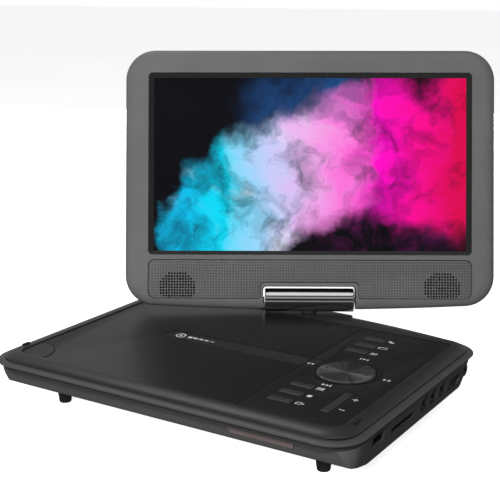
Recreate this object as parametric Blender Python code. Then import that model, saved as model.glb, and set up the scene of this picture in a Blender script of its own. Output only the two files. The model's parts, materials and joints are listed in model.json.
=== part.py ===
"""Portable disc player with a swivelling, tilting screen, as an assembly of separate parts.

Sizes are in millimetres and are turned into metres by MM. Base parts are drawn in the deck
frame: X to the right, Y to the back, Z up, from the swivel axis at the height of the deck.
Screen parts are drawn in the screen frame: X to the right, Y to the back, Z up the screen,
from the middle of the tilt axis. The row's origin is under the middle of the bounding box.
"""

from math import cos, pi, radians, sin

import bmesh
import bpy
from mathutils import Euler, Matrix, Vector

MM = 0.001

# Where the deck frame's origin lies in the row frame, and how the screen stands at rest.
SWIVEL_X = 1.74
SWIVEL_Y = 43.6
DECK_Z = 37.0
SWIVEL_DEG = 31.4
TILT_DEG = 14.0
TILT_AXIS_Z = 8.7

GAP = 0.3

# Base: the deck is the flat top inside the rim, made of the disc lid and the control panel.
DECK_HALF = 115.8
DECK_FRONT = -177.5
DECK_BACK = -13.5
BACK_BOW = 11.0
DECK_R = 8.0
RIM_Z = 0.8
SEAM_Z = -2.3
FLOOR_TOP = -2.3
FLOOR_BOTTOM = -4.3
LID_RIGHT = 50.4
PANEL_LEFT = 50.8
PANEL_T = 2.0
BODY_BOTTOM = -28.0
WALL = 2.4

# Disc drive, in the middle of the lid.
DISC_X = -32.5
DISC_Y = -95.5
BAY_R = 62.5
BAY_FLOOR = -8.0
BAY_FLOOR_T = 1.4
HUB_R = 14.5
MOTOR_R = 12.5
ROD_R = 1.5
ROD_OUT = 17.5
SLOT_HALF = 7.0
SLED_NEAR = -119.5
SLED_TRAVEL = 33.0

# Controls.
KEY_W = 15.0
KEY_D = 5.4
KEY_X = 68.1
KEY_TOP = 0.3
KEY_CLEAR = 0.25
UPPER_KEYS = (-32.0, -45.7, -58.8)
LOWER_KEYS = (-130.8, -143.8, -156.7)
NAV_X = 80.0
NAV_Y = -97.3
NAV_R = 18.3
RING_R = 22.6
ROCKER_X = 98.0
ROCKER_Y = -144.0
ROCKER_W = 4.8
ROCKER_L = 31.0
CORNER_KEY_X = -113.0
CORNER_KEY_Y = -173.4
CORNER_KEY_R = 18.5

# Ports on the right wall.
PORT_Z = -14.4
PORT_FACE = 126.6
USB_Y = -150.3
USB_Z = -13.0
CARD_Y = -116.4
CARD_Z = -15.4
JACKS = {"headphone_jack": -85.9, "av_out_jack": -71.8, "av_in_jack": -57.5}
SWITCH_Y = -37.0
SWITCH_Z = -16.8
DC_Y = -17.4

# Hinge.
BARREL_R = 8.4
BARREL_HALF = 32.0
NECK_R = 4.0
SHAFT_R = 5.5
PIN_R = 2.2
COLLAR_R = 3.6
BRACKET_X = (37.6, 40.4)
HOUSING_HALF = 31.0
HOUSING_BACK = 11.0
HOUSING_FRONT = -13.2
HOUSING_TOP = -0.6

# Screen.
SCREEN_HALF = 133.0
SCREEN_TOP = 180.3
SCREEN_BOTTOM = -7.2
SCREEN_BOW = 2.8
SCREEN_R = 21.5
FACE_Y = -6.7
BACK_Y = 7.6
BEZEL_T = 2.0
NOTCH_HALF = 33.3
NOTCH_TOP = 9.7
WINDOW_HALF = 116.3
WINDOW_LOW = 32.5
WINDOW_HIGH = 163.5
SPEAKER_X = 95.7
SPEAKER_Z = 15.2

FOOT_R = 4.8
FEET = {
    "foot_front_left": (-96.5, -155.8),
    "foot_front_right": (96.5, -155.8),
    "foot_back_left": (-96.5, -28.0),
    "foot_back_right": (96.5, -28.0),
}

# name: (colour, metallic, roughness)
MATERIALS = {
    "black_plastic": ((0.022, 0.022, 0.024), 0.0, 0.42),
    "grey_plastic": ((0.085, 0.085, 0.088), 0.0, 0.45),
    "deck_plastic": ((0.013, 0.013, 0.014), 0.0, 0.38),
    "key_plastic": ((0.035, 0.035, 0.037), 0.0, 0.35),
    "spun_metal": ((0.16, 0.16, 0.17), 0.9, 0.32),
    "chrome": ((0.75, 0.75, 0.77), 1.0, 0.12),
    "steel": ((0.55, 0.55, 0.56), 1.0, 0.35),
    "rubber": ((0.012, 0.012, 0.012), 0.0, 0.8),
    "board": ((0.02, 0.14, 0.06), 0.0, 0.5),
    "battery": ((0.02, 0.06, 0.22), 0.0, 0.4),
    "lcd": ((0.01, 0.01, 0.015), 0.0, 0.15),
    "lens": ((0.1, 0.15, 0.3), 0.0, 0.05),
    "window": ((0.1, 0.06, 0.06), 0.0, 0.15),
    "socket_plastic": ((0.01, 0.01, 0.01), 0.0, 0.5),
}


def clear_scene():
    for obj in list(bpy.data.objects):
        bpy.data.objects.remove(obj)


def make_materials():
    for name, (colour, metallic, roughness) in MATERIALS.items():
        material = bpy.data.materials.new(name)
        material.use_nodes = True
        shader = material.node_tree.nodes["Principled BSDF"]
        shader.inputs["Base Color"].default_value = (*colour, 1.0)
        shader.inputs["Metallic"].default_value = metallic
        shader.inputs["Roughness"].default_value = roughness
        material.diffuse_color = (*colour, 1.0)


# Outlines: lists of 2-D points, counter-clockwise.

def rounded(corners, segments=4):
    """A closed outline with each (x, y, radius) corner turned into an arc."""
    points = []
    for i, (x, y, radius) in enumerate(corners):
        here = Vector((x, y))
        if radius <= 0.0:
            points.append(here)
            continue
        before = (Vector(corners[i - 1][:2]) - here).normalized()
        after = (Vector(corners[(i + 1) % len(corners)][:2]) - here).normalized()
        half = before.angle(after) / 2
        centre = here + (before + after).normalized() * (radius / sin(half))
        start = here + before * (radius * cos(half) / sin(half)) - centre
        end = here + after * (radius * cos(half) / sin(half)) - centre
        turn = start.angle_signed(end)
        for k in range(segments + 1):
            points.append(centre + Matrix.Rotation(-turn * k / segments, 2) @ start)
    return points


def rectangle(x0, x1, y0, y1, radius=0.0, segments=4):
    return rounded([(x0, y0, radius), (x1, y0, radius), (x1, y1, radius), (x0, y1, radius)], segments)


def circle(x, y, radius, segments=24):
    steps = [2 * pi * k / segments for k in range(segments)]
    return [Vector((x + radius * cos(a), y + radius * sin(a))) for a in steps]


# The sunk, textured strip that runs along the lid to the ring round the navigation disc.
STRIP = rounded([(-60.0, -99.5, 5.0), (60.0, -101.5, 0.0), (60.0, -86.0, 0.0), (-58.0, -86.5, 6.0)])


def base_outline(grow, radius, front=None, segments=5, bow_steps=8):
    """The deck's outline moved out by grow; away from the deck its back edge bows out round the hinge."""
    low = DECK_FRONT - grow if front is None else front
    bow = BACK_BOW * min(max((grow - 2.0) / 7.0, 0.0), 1.0)
    points = rectangle(-DECK_HALF - grow, DECK_HALF + grow, low, DECK_BACK + grow, radius, segments)
    reach = DECK_HALF + grow - radius
    middle = 3 * (segments + 1)
    back = []
    for k in range(1, bow_steps):
        x = reach - 2 * reach * k / bow_steps
        back.append(Vector((x, DECK_BACK + grow + bow * (1 - (x / reach) ** 2))))
    return points[:middle] + back + points[middle:]


def screen_outline(inset, bow_steps=6, segments=6):
    """The screen's outline: bowed bottom edge and four round corners, moved in by inset."""
    reach = SCREEN_HALF - SCREEN_R
    radius = SCREEN_R - inset
    points = []
    for k in range(1, bow_steps):
        x = -reach + 2 * reach * k / bow_steps
        points.append(Vector((x, SCREEN_BOTTOM + inset + SCREEN_BOW * (x / reach) ** 2)))
    low = SCREEN_BOTTOM + SCREEN_BOW + SCREEN_R
    high = SCREEN_TOP - SCREEN_R
    for centre, first in (((reach, low), -90), ((reach, high), 0), ((-reach, high), 90), ((-reach, low), 180)):
        for k in range(segments + 1):
            a = radians(first + 90 * k / segments)
            points.append(Vector((centre[0] + radius * cos(a), centre[1] + radius * sin(a))))
    return points


def stepped_outline(half, low, high, radius, notch_half, notch_top, notch_r=3.0):
    """A rounded rectangle whose lower edge steps up over the barrel."""
    return rounded([
        (-half, low, radius), (-notch_half, low, 1.5), (-notch_half, notch_top, notch_r),
        (notch_half, notch_top, notch_r), (notch_half, low, 1.5), (half, low, radius),
        (half, high, radius), (-half, high, radius),
    ])


# Solids: each function adds one closed solid to a bmesh, in millimetres.

def in_plane(outline, level, plane):
    """Outline points lifted to a level: plane XY goes up Z, XZ goes along Y, YZ along X."""
    if plane == "XY":
        return [Vector((p.x, p.y, level)) for p in outline]
    if plane == "XZ":
        return [Vector((p.x, level, p.y)) for p in outline]
    return [Vector((level, p.x, p.y)) for p in outline]


def loft(bm, sections):
    """A closed solid through loops of equal length, capped at both ends."""
    rings = [[bm.verts.new(p) for p in section] for section in sections]
    count = len(rings[0])
    faces = []
    for low, high in zip(rings, rings[1:]):
        for i in range(count):
            j = (i + 1) % count
            faces.append(bm.faces.new((low[i], low[j], high[j], high[i])))
    faces.append(bm.faces.new(rings[0]))
    faces.append(bm.faces.new(rings[-1]))
    bmesh.ops.recalc_face_normals(bm, faces=faces)
    return bm


def prism(bm, outline, low, high, plane="XY"):
    return loft(bm, [in_plane(outline, low, plane), in_plane(outline, high, plane)])


def box(bm, x0, x1, y0, y1, z0, z1):
    return prism(bm, rectangle(x0, x1, y0, y1), z0, z1)


def turned(bm, profile, centre=(0.0, 0.0), plane="XY", segments=24):
    """A solid of revolution: profile is (radius, level) pairs, all with a radius above zero."""
    return loft(bm, [in_plane(circle(*centre, r, segments), level, plane) for r, level in profile])


def new_mesh(name, bm, origin=(0.0, 0.0, 0.0)):
    bmesh.ops.translate(bm, verts=bm.verts, vec=-Vector(origin))
    bmesh.ops.scale(bm, verts=bm.verts, vec=(MM, MM, MM))
    mesh = bpy.data.meshes.new(name)
    bm.to_mesh(mesh)
    bm.free()
    return mesh


def node(name, bm, material, frame, origin=(0.0, 0.0, 0.0)):
    """One named part. Its origin is on its joint axis where it moves."""
    mesh = new_mesh(name, bm, origin)
    mesh.materials.append(bpy.data.materials[material])
    mesh.shade_smooth()
    mesh.set_sharp_from_angle(angle=radians(30))
    obj = bpy.data.objects.new(name, mesh)
    obj.parent = frame
    obj.location = Vector(origin) * MM
    bpy.context.collection.objects.link(obj)
    return obj


def boolean(obj, bm, name, operation="DIFFERENCE"):
    """Cuts a hidden tool's solids out of an object, or joins them to it."""
    tool = bpy.data.objects.new(f"{obj.name}_{name}", new_mesh(f"{obj.name}_{name}", bm, obj.location / MM))
    tool.parent = obj.parent
    tool.location = obj.location
    tool.hide_render = True
    tool.display_type = "WIRE"
    bpy.context.collection.objects.link(tool)
    modifier = obj.modifiers.new(name, "BOOLEAN")
    modifier.operation = operation
    modifier.object = tool
    modifier.solver = "EXACT"


def empty(name, location, rotation=(0.0, 0.0, 0.0), parent=None):
    obj = bpy.data.objects.new(name, None)
    obj.location = Vector(location) * MM
    obj.rotation_euler = Euler([radians(a) for a in rotation])
    obj.parent = parent
    obj.empty_display_size = 0.02
    bpy.context.collection.objects.link(obj)
    return obj


# Base shells.

def front_scoop(bm):
    """The wedge that slopes the lower front wall from one side to the other."""
    profile = [Vector(p) for p in (
        (-186.6, -8.6), (-179.5, -19.5), (-148.0, -28.6), (-148.0, -45.0), (-230.0, -45.0), (-230.0, -8.6))]
    return prism(bm, profile, -140.0, 140.0, "YZ")


def build_bottom_shell(frame):
    bm = bmesh.new()
    levels = (
        (SEAM_Z - GAP, 10.8, 18.0), (-3.0, 13.8, 20.3), (-4.2, 15.2, 21.0), (-5.2, 14.4, 20.5), (-5.9, 12.4, 19.2),
        (-8.4, 11.8, 19.0), (-9.0, 12.4, 19.0), (-24.5, 8.8, 17.0), (-27.0, 7.4, 16.0), (BODY_BOTTOM, 4.6, 14.0),
    )
    loft(bm, [in_plane(base_outline(grow, r), z, "XY") for z, grow, r in levels])
    shell = node("bottom_shell", bm, "grey_plastic", frame)

    block = bmesh.new()
    reach = HOUSING_HALF + WALL
    outline = rectangle(-reach, reach, DECK_BACK, HOUSING_BACK + 1.0, 5.0)
    loft(block, [in_plane(rectangle(-reach + 3, reach - 3, DECK_BACK, HOUSING_BACK - 2.0, 4.0), BODY_BOTTOM + 0.5, "XY"),
                 in_plane(outline, BODY_BOTTOM + 4.0, "XY"), in_plane(outline, -9.0, "XY")])
    boolean(shell, block, "hinge_block", "UNION")
    boolean(shell, front_scoop(bmesh.new()), "scoop")

    hollow = bmesh.new()
    inner = ((-25.4, 4.8, -151.0), (-19.0, 6.4, -172.0), (-7.0, 9.2, -182.4), (-4.8, 9.2, -186.7),
             (SEAM_Z + 1.0, 9.2, -186.7))
    loft(hollow, [in_plane(base_outline(grow, 12.0, front), z, "XY") for z, grow, front in inner])
    boolean(shell, hollow, "hollow")
    back = bmesh.new()
    box(back, -HOUSING_HALF + 1, HOUSING_HALF - 1, -12.0, HOUSING_BACK - 2.0, -24.0, -5.0)
    boolean(shell, back, "hinge_hollow")
    seat = bmesh.new()
    box(seat, -HOUSING_HALF - GAP, HOUSING_HALF + GAP, HOUSING_FRONT - GAP, HOUSING_BACK + 3.0, -8.9, 2.0)
    boolean(shell, seat, "hinge_seat")
    bosses = bmesh.new()
    for x, y in FEET.values():
        prism(bosses, circle(x, y, FOOT_R + 1.4), BODY_BOTTOM, -24.6)
    boolean(shell, bosses, "foot_bosses", "UNION")
    boolean(shell, port_cutters(), "ports")
    return shell


def port_cutters():
    """Every opening through the right wall, plus the infra-red window in the front wall."""
    bm = bmesh.new()
    near, far = 117.0, 135.0
    box(bm, near, far, USB_Y - 8.0, USB_Y + 8.0, USB_Z - 3.6, USB_Z + 3.6)
    box(bm, near, far, CARD_Y - 16.0, CARD_Y + 16.0, CARD_Z - 2.0, CARD_Z + 2.0)
    for y in (*JACKS.values(), DC_Y):
        prism(bm, circle(y, PORT_Z, 5.3, 20), near, far, "YZ")
    prism(bm, rectangle(SWITCH_Y - 9.8, SWITCH_Y + 9.8, SWITCH_Z - 4.0, SWITCH_Z + 4.0, 1.5), near, far, "YZ")
    prism(bm, rectangle(50.0, 93.0, -15.2, -9.6, 2.4), -200.0, -174.0, "XZ")
    return bm


def build_top_shell(frame):
    bm = bmesh.new()
    levels = (
        (FLOOR_BOTTOM, 8.6, 14.0), (SEAM_Z - 0.01, 8.6, 14.0), (SEAM_Z, 10.4, 17.0), (-1.9, 10.4, 17.0),
        (-0.6, 8.4, 15.5), (0.3, 5.6, 13.0), (RIM_Z, 2.6, 10.0), (RIM_Z - 0.05, 1.4, 9.0),
    )
    loft(bm, [in_plane(base_outline(grow, r), z, "XY") for z, grow, r in levels])
    shell = node("top_shell", bm, "black_plastic", frame)

    cup = bmesh.new()
    prism(cup, circle(DISC_X, DISC_Y, BAY_R + 1.6, 48), BAY_FLOOR - BAY_FLOOR_T, FLOOR_BOTTOM + 0.5)
    boolean(shell, cup, "bay_cup", "UNION")

    holes = bmesh.new()
    prism(holes, base_outline(0.25, DECK_R), FLOOR_TOP, 5.0)
    boolean(shell, holes, "deck_recess")
    openings = bmesh.new()
    prism(openings, circle(DISC_X, DISC_Y, BAY_R, 48), BAY_FLOOR, 0.0)
    prism(openings, rectangle(54.0, 112.5, -174.0, -17.0, 4.0), -6.0, 0.0)
    prism(openings, rectangle(-111.5, -90.0, -172.0, -150.0, 3.0), -6.0, 0.0)
    boolean(shell, openings, "openings")
    pocket = bmesh.new()
    side, end = CORNER_KEY_X + CORNER_KEY_R + 0.9, CORNER_KEY_Y + CORNER_KEY_R + 0.9
    prism(pocket, rounded([(-DECK_HALF - 0.2, DECK_FRONT - 0.2, DECK_R), (side, DECK_FRONT - 0.2, 0.0),
                           (side, end, 0.0), (-DECK_HALF - 0.2, end, 0.0)]), FLOOR_TOP - 0.9, 0.0)
    boolean(shell, pocket, "release_pocket")
    spindle = bmesh.new()
    prism(spindle, circle(DISC_X, DISC_Y, HUB_R + 1.2, 32), -12.0, -6.0)
    boolean(shell, spindle, "spindle_hole")
    slot = bmesh.new()
    far = SLED_NEAR - SLED_TRAVEL
    prism(slot, rectangle(DISC_X - SLOT_HALF, DISC_X + SLOT_HALF, far - 7.0, SLED_NEAR + 5.5, 2.0), -12.0, -6.0)
    boolean(shell, slot, "lens_slot")
    notch = bmesh.new()
    box(notch, -HOUSING_HALF - GAP, HOUSING_HALF + GAP, HOUSING_FRONT - GAP, HOUSING_BACK + 3.0, -6.0, 5.0)
    boolean(shell, notch, "hinge_notch")
    return shell


def build_disc_lid(frame):
    """The lid pivots on its back edge; its front left corner gives way to the release key."""
    origin = (0.0, DECK_BACK - 1.0, -1.0)
    bm = bmesh.new()
    prism(bm, rounded([(-DECK_HALF, DECK_FRONT, DECK_R), (LID_RIGHT, DECK_FRONT, 0.6), (LID_RIGHT, DECK_BACK, 0.6),
                       (-DECK_HALF, DECK_BACK, DECK_R)]), -PANEL_T, 0.0)
    lid = node("disc_lid", bm, "deck_plastic", frame, origin)
    cuts = bmesh.new()
    prism(cuts, circle(CORNER_KEY_X, CORNER_KEY_Y, CORNER_KEY_R + GAP, 40), -6.0, 3.0)
    boolean(lid, cuts, "corner")
    strip = bmesh.new()
    prism(strip, STRIP, -0.35, 2.0)
    boolean(lid, strip, "strip")
    return lid


def build_control_panel(frame):
    bm = bmesh.new()
    prism(bm, rounded([(PANEL_LEFT, DECK_FRONT, 0.6), (DECK_HALF, DECK_FRONT, DECK_R),
                       (DECK_HALF, DECK_BACK, DECK_R), (PANEL_LEFT, DECK_BACK, 0.6)]), -PANEL_T, 0.0)
    panel = node("control_panel", bm, "deck_plastic", frame)
    holes = bmesh.new()
    half_w = KEY_W / 2 + KEY_CLEAR
    half_d = KEY_D / 2 + KEY_CLEAR
    for y in (*UPPER_KEYS, *LOWER_KEYS):
        prism(holes, rectangle(KEY_X - half_w, KEY_X + half_w, y - half_d, y + half_d), -6.0, 3.0)
    prism(holes, circle(NAV_X, NAV_Y, NAV_R + 0.5, 36), -6.0, 3.0)
    half_r = ROCKER_W / 2 + KEY_CLEAR
    reach = ROCKER_L / 2 + KEY_CLEAR
    prism(holes, rectangle(ROCKER_X - half_r, ROCKER_X + half_r, ROCKER_Y - reach, ROCKER_Y + reach), -6.0, 3.0)
    boolean(panel, holes, "button_holes")
    groove = bmesh.new()
    prism(groove, circle(NAV_X, NAV_Y, RING_R, 36), -0.5, 3.0)
    boolean(panel, groove, "nav_ring")
    strip = bmesh.new()
    prism(strip, STRIP, -0.35, 2.0)
    boolean(panel, strip, "strip")
    return panel


# Controls.

def build_key(name, y, frame):
    """A short-travel key: the cap stands in the panel's hole and its flange keeps it in."""
    bm = bmesh.new()
    half_w, half_d = KEY_W / 2, KEY_D / 2
    def outline(grow):
        return rectangle(KEY_X - half_w - grow, KEY_X + half_w + grow, y - half_d - grow, y + half_d + grow)
    low = -PANEL_T - GAP
    sections = ((low - 0.9, 0.9), (low, 0.9), (low + 0.01, 0.0), (0.0, 0.0), (KEY_TOP, -0.4))
    loft(bm, [in_plane(outline(grow), z, "XY") for z, grow in sections])
    return node(name, bm, "key_plastic", frame, (KEY_X, y, 0.0))


def build_navigation(frame):
    """A disc that tips four ways on a gimbal ring carried below it."""
    centre = (NAV_X, NAV_Y, -3.4)
    disc = bmesh.new()
    turned(disc, ((NAV_R - 2.0, -2.9), (NAV_R, -2.6), (NAV_R, -0.2), (NAV_R - 0.8, 0.3), (NAV_R - 4.0, 0.15),
                  (5.0, 0.0)), (NAV_X, NAV_Y), segments=36)
    node("nav_disc", disc, "spun_metal", frame, centre)
    ring = bmesh.new()
    turned(ring, ((13.0, -4.2), (13.0, -3.3)), (NAV_X, NAV_Y), segments=24)
    carrier = node("nav_carrier", ring, "key_plastic", frame, centre)
    hole = bmesh.new()
    turned(hole, ((9.0, -6.0), (9.0, 0.0)), (NAV_X, NAV_Y), segments=24)
    boolean(carrier, hole, "hole")


def build_rocker(frame):
    bm = bmesh.new()
    half_w, reach = ROCKER_W / 2, ROCKER_L / 2
    side = rounded([(ROCKER_Y - reach, -2.5, 0.0), (ROCKER_Y, -3.1, 0.0), (ROCKER_Y + reach, -2.5, 0.0),
                    (ROCKER_Y + reach, 0.35, 0.0), (ROCKER_Y, 0.1, 0.0), (ROCKER_Y - reach, 0.35, 0.0)])
    prism(bm, side, ROCKER_X - half_w, ROCKER_X + half_w, "YZ")
    return node("volume_rocker", bm, "key_plastic", frame, (ROCKER_X, ROCKER_Y, -3.1))


def build_release(frame):
    """The quarter-round corner key and the sliding latch that it works."""
    key = bmesh.new()
    prism(key, circle(CORNER_KEY_X, CORNER_KEY_Y, CORNER_KEY_R, 40), -PANEL_T, 0.1)
    button = node("release_button", key, "deck_plastic", frame, (-107.0, -167.5, 0.0))
    keep = bmesh.new()
    prism(keep, rounded([(-DECK_HALF, DECK_FRONT, DECK_R), (-80.0, DECK_FRONT, 0.0), (-80.0, -140.0, 0.0),
                         (-DECK_HALF, -140.0, 0.0)]), -8.0, 3.0)
    boolean(button, keep, "corner", "INTERSECT")
    stem = bmesh.new()
    box(stem, -109.0, -103.0, -167.5, -161.5, -3.6, -1.0)
    boolean(button, stem, "stem", "UNION")
    latch = bmesh.new()
    box(latch, -108.5, -93.0, -168.5, -160.5, -7.4, -5.0)
    node("lid_latch", latch, "socket_plastic", frame, (-101.0, -164.5, -6.0))


def build_power_switch(frame):
    bm = bmesh.new()
    face = rectangle(SWITCH_Y - 7.3, SWITCH_Y + 2.3, SWITCH_Z - 3.2, SWITCH_Z + 3.2, 1.0)
    prism(bm, face, 119.0, 126.2, "YZ")
    switch = node("power_switch", bm, "key_plastic", frame, (124.0, SWITCH_Y - 2.5, SWITCH_Z))
    slider = bmesh.new()
    box(slider, 118.0, 120.0, SWITCH_Y - 14.4, SWITCH_Y + 10.6, SWITCH_Z - 4.5, SWITCH_Z + 4.5)
    boolean(switch, slider, "slider", "UNION")
    grips = bmesh.new()
    for k in range(3):
        y = SWITCH_Y - 5.6 + 2.6 * k
        box(grips, 125.5, 128.0, y, y + 1.0, SWITCH_Z - 5.0, SWITCH_Z + 5.0)
    boolean(switch, grips, "grips")


# Ports, window, feet and other trim.

def build_ports(frame):
    usb = bmesh.new()
    box(usb, 112.0, PORT_FACE - 0.8, USB_Y - 7.6, USB_Y + 7.6, USB_Z - 3.2, USB_Z + 3.2)
    socket = node("usb_socket", usb, "steel", frame)
    mouth = bmesh.new()
    box(mouth, 114.0, 135.0, USB_Y - 6.6, USB_Y + 6.6, USB_Z - 2.5, USB_Z + 2.5)
    boolean(socket, mouth, "mouth")
    tongue = bmesh.new()
    box(tongue, 113.0, 124.6, USB_Y - 5.8, USB_Y + 5.8, USB_Z + 0.2, USB_Z + 1.9)
    boolean(socket, tongue, "tongue", "UNION")

    card = bmesh.new()
    box(card, 92.0, PORT_FACE - 1.0, CARD_Y - 15.6, CARD_Y + 15.6, CARD_Z - 1.7, CARD_Z + 1.7)
    socket = node("card_socket", card, "socket_plastic", frame)
    slot = bmesh.new()
    box(slot, 94.0, 135.0, CARD_Y - 14.0, CARD_Y + 14.0, CARD_Z - 1.1, CARD_Z + 1.1)
    boolean(socket, slot, "slot")

    for name, y in (*JACKS.items(), ("dc_jack", DC_Y)):
        jack = bmesh.new()
        turned(jack, ((4.6, 113.0), (4.6, 126.0), (4.0, 126.5)), (y, PORT_Z), "YZ", 20)
        socket = node(name, jack, "socket_plastic", frame)
        bore = bmesh.new()
        turned(bore, ((2.1, 115.0), (2.1, 130.0)), (y, PORT_Z), "YZ", 12)
        boolean(socket, bore, "bore")


def build_ir_window(frame):
    bm = bmesh.new()
    face = rectangle(50.4, 92.6, -14.8, -10.0, 2.2)
    loft(bm, [in_plane(face, -180.0, "XZ"), in_plane(face, -185.3, "XZ")])
    window = node("ir_window", bm, "window", frame)
    trim = bmesh.new()
    slope = [Vector((y, z)) for y, z in ((-210.0, -9.0), (-186.2, -9.0), (-182.2, -16.0), (-210.0, -16.0))]
    prism(trim, slope, 40.0, 100.0, "YZ")
    boolean(window, trim, "slope")


def build_feet(frame):
    for name, (x, y) in FEET.items():
        bm = bmesh.new()
        top = BODY_BOTTOM - GAP
        turned(bm, ((FOOT_R, top), (FOOT_R - 0.6, -DECK_Z + 0.6), (FOOT_R - 1.0, -DECK_Z)), (x, y), segments=20)
        node(name, bm, "rubber", frame)


def build_bumpers(frame):
    for name, side in (("bumper_left", -1), ("bumper_right", 1)):
        bm = bmesh.new()
        x, near, far = side * 120.6, -167.8, -161.8
        loft(bm, [in_plane(rectangle(x - 1.2, x + 1.2, near, far, 0.6, 2), 0.8, "XY"),
                  in_plane(rectangle(x - 0.9, x + 0.9, near + 0.5, far - 0.5, 0.5, 2), 1.7, "XY")])
        node(name, bm, "rubber", frame)


def build_screws(frame):
    places = {"base_screw_front": (0.0, -138.0), "base_screw_left": (-104.0, -93.0), "base_screw_right": (104.0, -93.0)}
    for name, (x, y) in places.items():
        bm = bmesh.new()
        turned(bm, ((2.6, BODY_BOTTOM - 1.4), (3.0, BODY_BOTTOM - 1.0), (3.0, BODY_BOTTOM - GAP)), (x, y), segments=16)
        node(name, bm, "steel", frame)


# Disc drive and electronics.

def build_drive(frame):
    centre = (DISC_X, DISC_Y)
    far = SLED_NEAR - SLED_TRAVEL
    bm = bmesh.new()
    prism(bm, rectangle(DISC_X - 27.0, DISC_X + 27.0, far - 14.0, DISC_Y + 22.0, 4.0), -15.0, -9.9)
    chassis = node("drive_chassis", bm, "steel", frame)
    holes = bmesh.new()
    box(holes, DISC_X - 23.0, DISC_X + 23.0, far - 10.0, DISC_Y - 14.5, -20.0, -5.0)
    turned(holes, ((MOTOR_R + 0.4, -20.0), (MOTOR_R + 0.4, -5.0)), centre)
    boolean(chassis, holes, "openings")

    motor = bmesh.new()
    turned(motor, ((MOTOR_R - 1.0, -17.4), (MOTOR_R, -16.6), (MOTOR_R, -9.8), (MOTOR_R - 1.0, -9.2)), centre)
    node("spindle_motor", motor, "steel", frame)
    hub = bmesh.new()
    turned(hub, ((6.0, -8.9), (HUB_R, -8.4), (HUB_R, -6.4), (HUB_R - 0.4, -6.0), (7.4, -6.0), (7.4, -4.2), (6.6, -3.3),
                 (4.0, -3.0)), centre)
    node("disc_hub", hub, "socket_plastic", frame, (*centre, -6.0))

    for name, side in (("guide_rod_left", -1), ("guide_rod_right", 1)):
        rod = bmesh.new()
        prism(rod, circle(DISC_X + side * ROD_OUT, -12.4, ROD_R, 12), far - 9.7, DISC_Y - 14.8, "XZ")
        node(name, rod, "steel", frame)

    sled = bmesh.new()
    reach = ROD_OUT + 3.5
    box(sled, DISC_X - reach, DISC_X + reach, SLED_NEAR - 7.0, SLED_NEAR + 7.0, -15.6, -9.8)
    pickup = node("laser_pickup", sled, "socket_plastic", frame, (DISC_X, SLED_NEAR, -12.4))
    bores = bmesh.new()
    for side in (-1, 1):
        prism(bores, circle(DISC_X + side * ROD_OUT, -12.4, ROD_R + 0.15, 12), -140.0, -100.0, "XZ")
    boolean(pickup, bores, "bores")
    turret = bmesh.new()
    turned(turret, ((5.0, -10.0), (5.0, -7.9), (4.0, -7.6)), (DISC_X, SLED_NEAR), segments=20)
    boolean(pickup, turret, "turret", "UNION")
    lens = bmesh.new()
    turned(lens, ((2.3, -7.3), (2.0, -6.9), (1.2, -6.7)), (DISC_X, SLED_NEAR), segments=16)
    node("laser_lens", lens, "lens", frame)


def build_electronics(frame):
    def board(name, outline, z, thickness, chips):
        bm = bmesh.new()
        prism(bm, outline, z, z + thickness)
        obj = node(name, bm, "board", frame)
        parts = bmesh.new()
        for x, y, w, d, h in chips:
            box(parts, x - w / 2, x + w / 2, y - d / 2, y + d / 2, z + thickness - 0.3, z + thickness + h)
        boolean(obj, parts, "chips", "UNION")

    board("main_board", rectangle(58.0, 110.0, -148.0, -26.0, 2.0), -21.5, 1.6,
          ((76.0, -100.0, 22.0, 22.0, 1.6), (76.0, -70.0, 12.0, 16.0, 1.4), (74.0, -130.0, 14.0, 9.0, 1.4),
           (96.0, -46.0, 8.0, 8.0, 4.0)))
    board("key_board", rectangle(56.0, 110.0, -170.0, -22.0, 2.0), -7.0, 1.2, ((96.0, -60.0, 8.0, 8.0, 0.8),))
    pack = bmesh.new()
    prism(pack, rectangle(-100.0, 40.0, -144.0, -48.0, 3.0), -24.8, -18.2)
    node("battery_pack", pack, "battery", frame)


# Hinge.

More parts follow.
